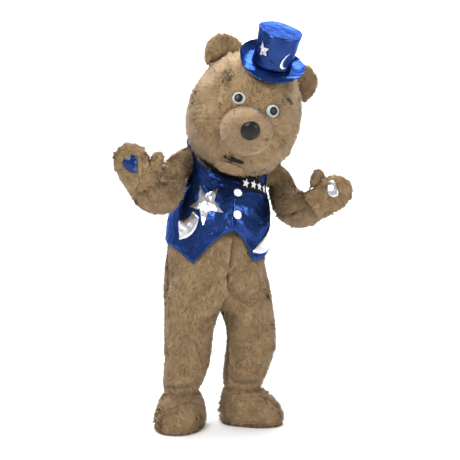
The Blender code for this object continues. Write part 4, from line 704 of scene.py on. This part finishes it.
for node, (width, long, area) in HAT_FLATS.items():
    part = smooth_copy(node + "_cloth", node, 2)
    hat_crumpled(part)
    settle_piece(part, SATIN, (node,))
for node, (width, long, area) in {"hat_star": (0.077, 0.075, 0.0025),
                                  "hat_moon": (0.082, 0.041, 0.0011)}.items():
    patch = smooth_copy(node + "_cloth", node, 1, crease=20.0)
    hat_crumpled(patch)
    settle_piece(patch, SILVER, (node,))

# Black neck sheet, partly painted shade, mouth lining, palm pads and soles
# The black neck sheet closes the hollow under the head, and its black is painted shade for the deep
# shadow under the chin.
cover = smooth_copy("neck_sheet_painted_shade", "neck_cover", 2)
settle_piece(cover, BLACK, ("neck_cover",))
lining = smooth_copy("mouth_lining_cloth", "mouth_lining", 2)
settle_piece(lining, BLACK, ("mouth_lining",))
for side, look, slot, flat in (("left", SATIN, "satin_blue", (0.092, 0.073, 0.0044)),
                               ("right", SILVER, "lame_silver", (0.088, 0.060, 0.0043))):
    pad = smooth_copy(f"palm_pad_{side}_cloth", f"palm_pad_{side}", 1, crease=30.0)
    settle_piece(pad, look, (f"palm_pad_{side}",))
    sole = smooth_copy(f"sole_{side}_cloth", f"sole_{side}", 1)
    settle_piece(sole, SOLE_LOOK, (f"sole_{side}",))

# Nose and eyes
for node, look, slot in (("nose", GLOSS, "nose_black"), ("eye_white_left", WHITE_EYE, "eye_white"),
                         ("eye_white_right", WHITE_EYE, "eye_white"),
                         ("pupil_left", GLOSS, "nose_black"), ("pupil_right", GLOSS, "nose_black")):
    settle_piece(smooth_copy(node + "_moulding", node, 2), look, (node,))

# Floor
bpy.ops.mesh.primitive_plane_add(size=30.0, location=(0.0, 6.0, FLOOR_HEIGHT - 0.001))
bpy.ops.object.transform_apply(location=True, rotation=True, scale=True)
floor = bpy.context.active_object
floor.name = "studio_floor"
floor_look, floor_shader = shaded("studio_floor", 0.9)
floor_shader.inputs["Base Color"].default_value = (0.93, 0.93, 0.93, 1.0)
floor.data.materials.append(floor_look)

# Backdrop
bpy.ops.mesh.primitive_plane_add(size=30.0, location=(0.0, 4.0, 0.0),
                                 rotation=(math.radians(90.0), 0.0, 0.0))
bpy.ops.object.transform_apply(location=True, rotation=True, scale=True)
backdrop = bpy.context.active_object
backdrop.name = "studio_backdrop"
backdrop_look, backdrop_shader = shaded("studio_backdrop", 0.9)
backdrop_shader.inputs["Base Color"].default_value = (0.95, 0.95, 0.95, 1.0)
backdrop_shader.inputs["Emission Color"].default_value = (1.0, 1.0, 1.0, 1.0)
backdrop_shader.inputs["Emission Strength"].default_value = 0.6
backdrop.data.materials.append(backdrop_look)

# Light
world = bpy.data.worlds.new("studio")
scene.world = world
world.use_nodes = True
sky = world.node_tree.nodes["Background"]
sky.inputs["Color"].default_value = (1.0, 1.0, 1.0, 1.0)
sky.inputs["Strength"].default_value = 0.55


def softbox(name, place, aim, size, power):
    """A square studio lamp turned to a place."""
    lamp = bpy.data.lights.new(name, "AREA")
    lamp.shape = "SQUARE"
    lamp.size = size
    lamp.energy = power
    holder = bpy.data.objects.new(name, lamp)
    scene.collection.objects.link(holder)
    holder.location = place
    holder.rotation_euler = (Vector(aim) - Vector(place)).to_track_quat("-Z", "Y").to_euler()


softbox("key_light", (-1.8, -3.6, 2.2), (0.0, 0.0, -0.3), 1.6, 150.0)
softbox("fill_light", (2.8, -3.0, 0.4), (0.0, 0.0, -0.4), 1.6, 55.0)
softbox("backdrop_light", (0.0, 0.8, 2.6), (0.0, 3.6, -0.6), 2.4, 260.0)

# Camera
lens = bpy.data.cameras.new("camera")
lens.sensor_width = SENSOR_WIDTH
lens.lens = SENSOR_WIDTH * -CAMERA_PLACE[1] / VIEW_WIDTH
lens.shift_y = -PICTURE_DROP / PICTURE_PIXELS
camera = bpy.data.objects.new("camera", lens)
camera.location = CAMERA_PLACE
camera.rotation_euler = (math.radians(90.0), 0.0, 0.0)
scene.collection.objects.link(camera)
scene.camera = camera
scene.view_settings.view_transform = "Standard"
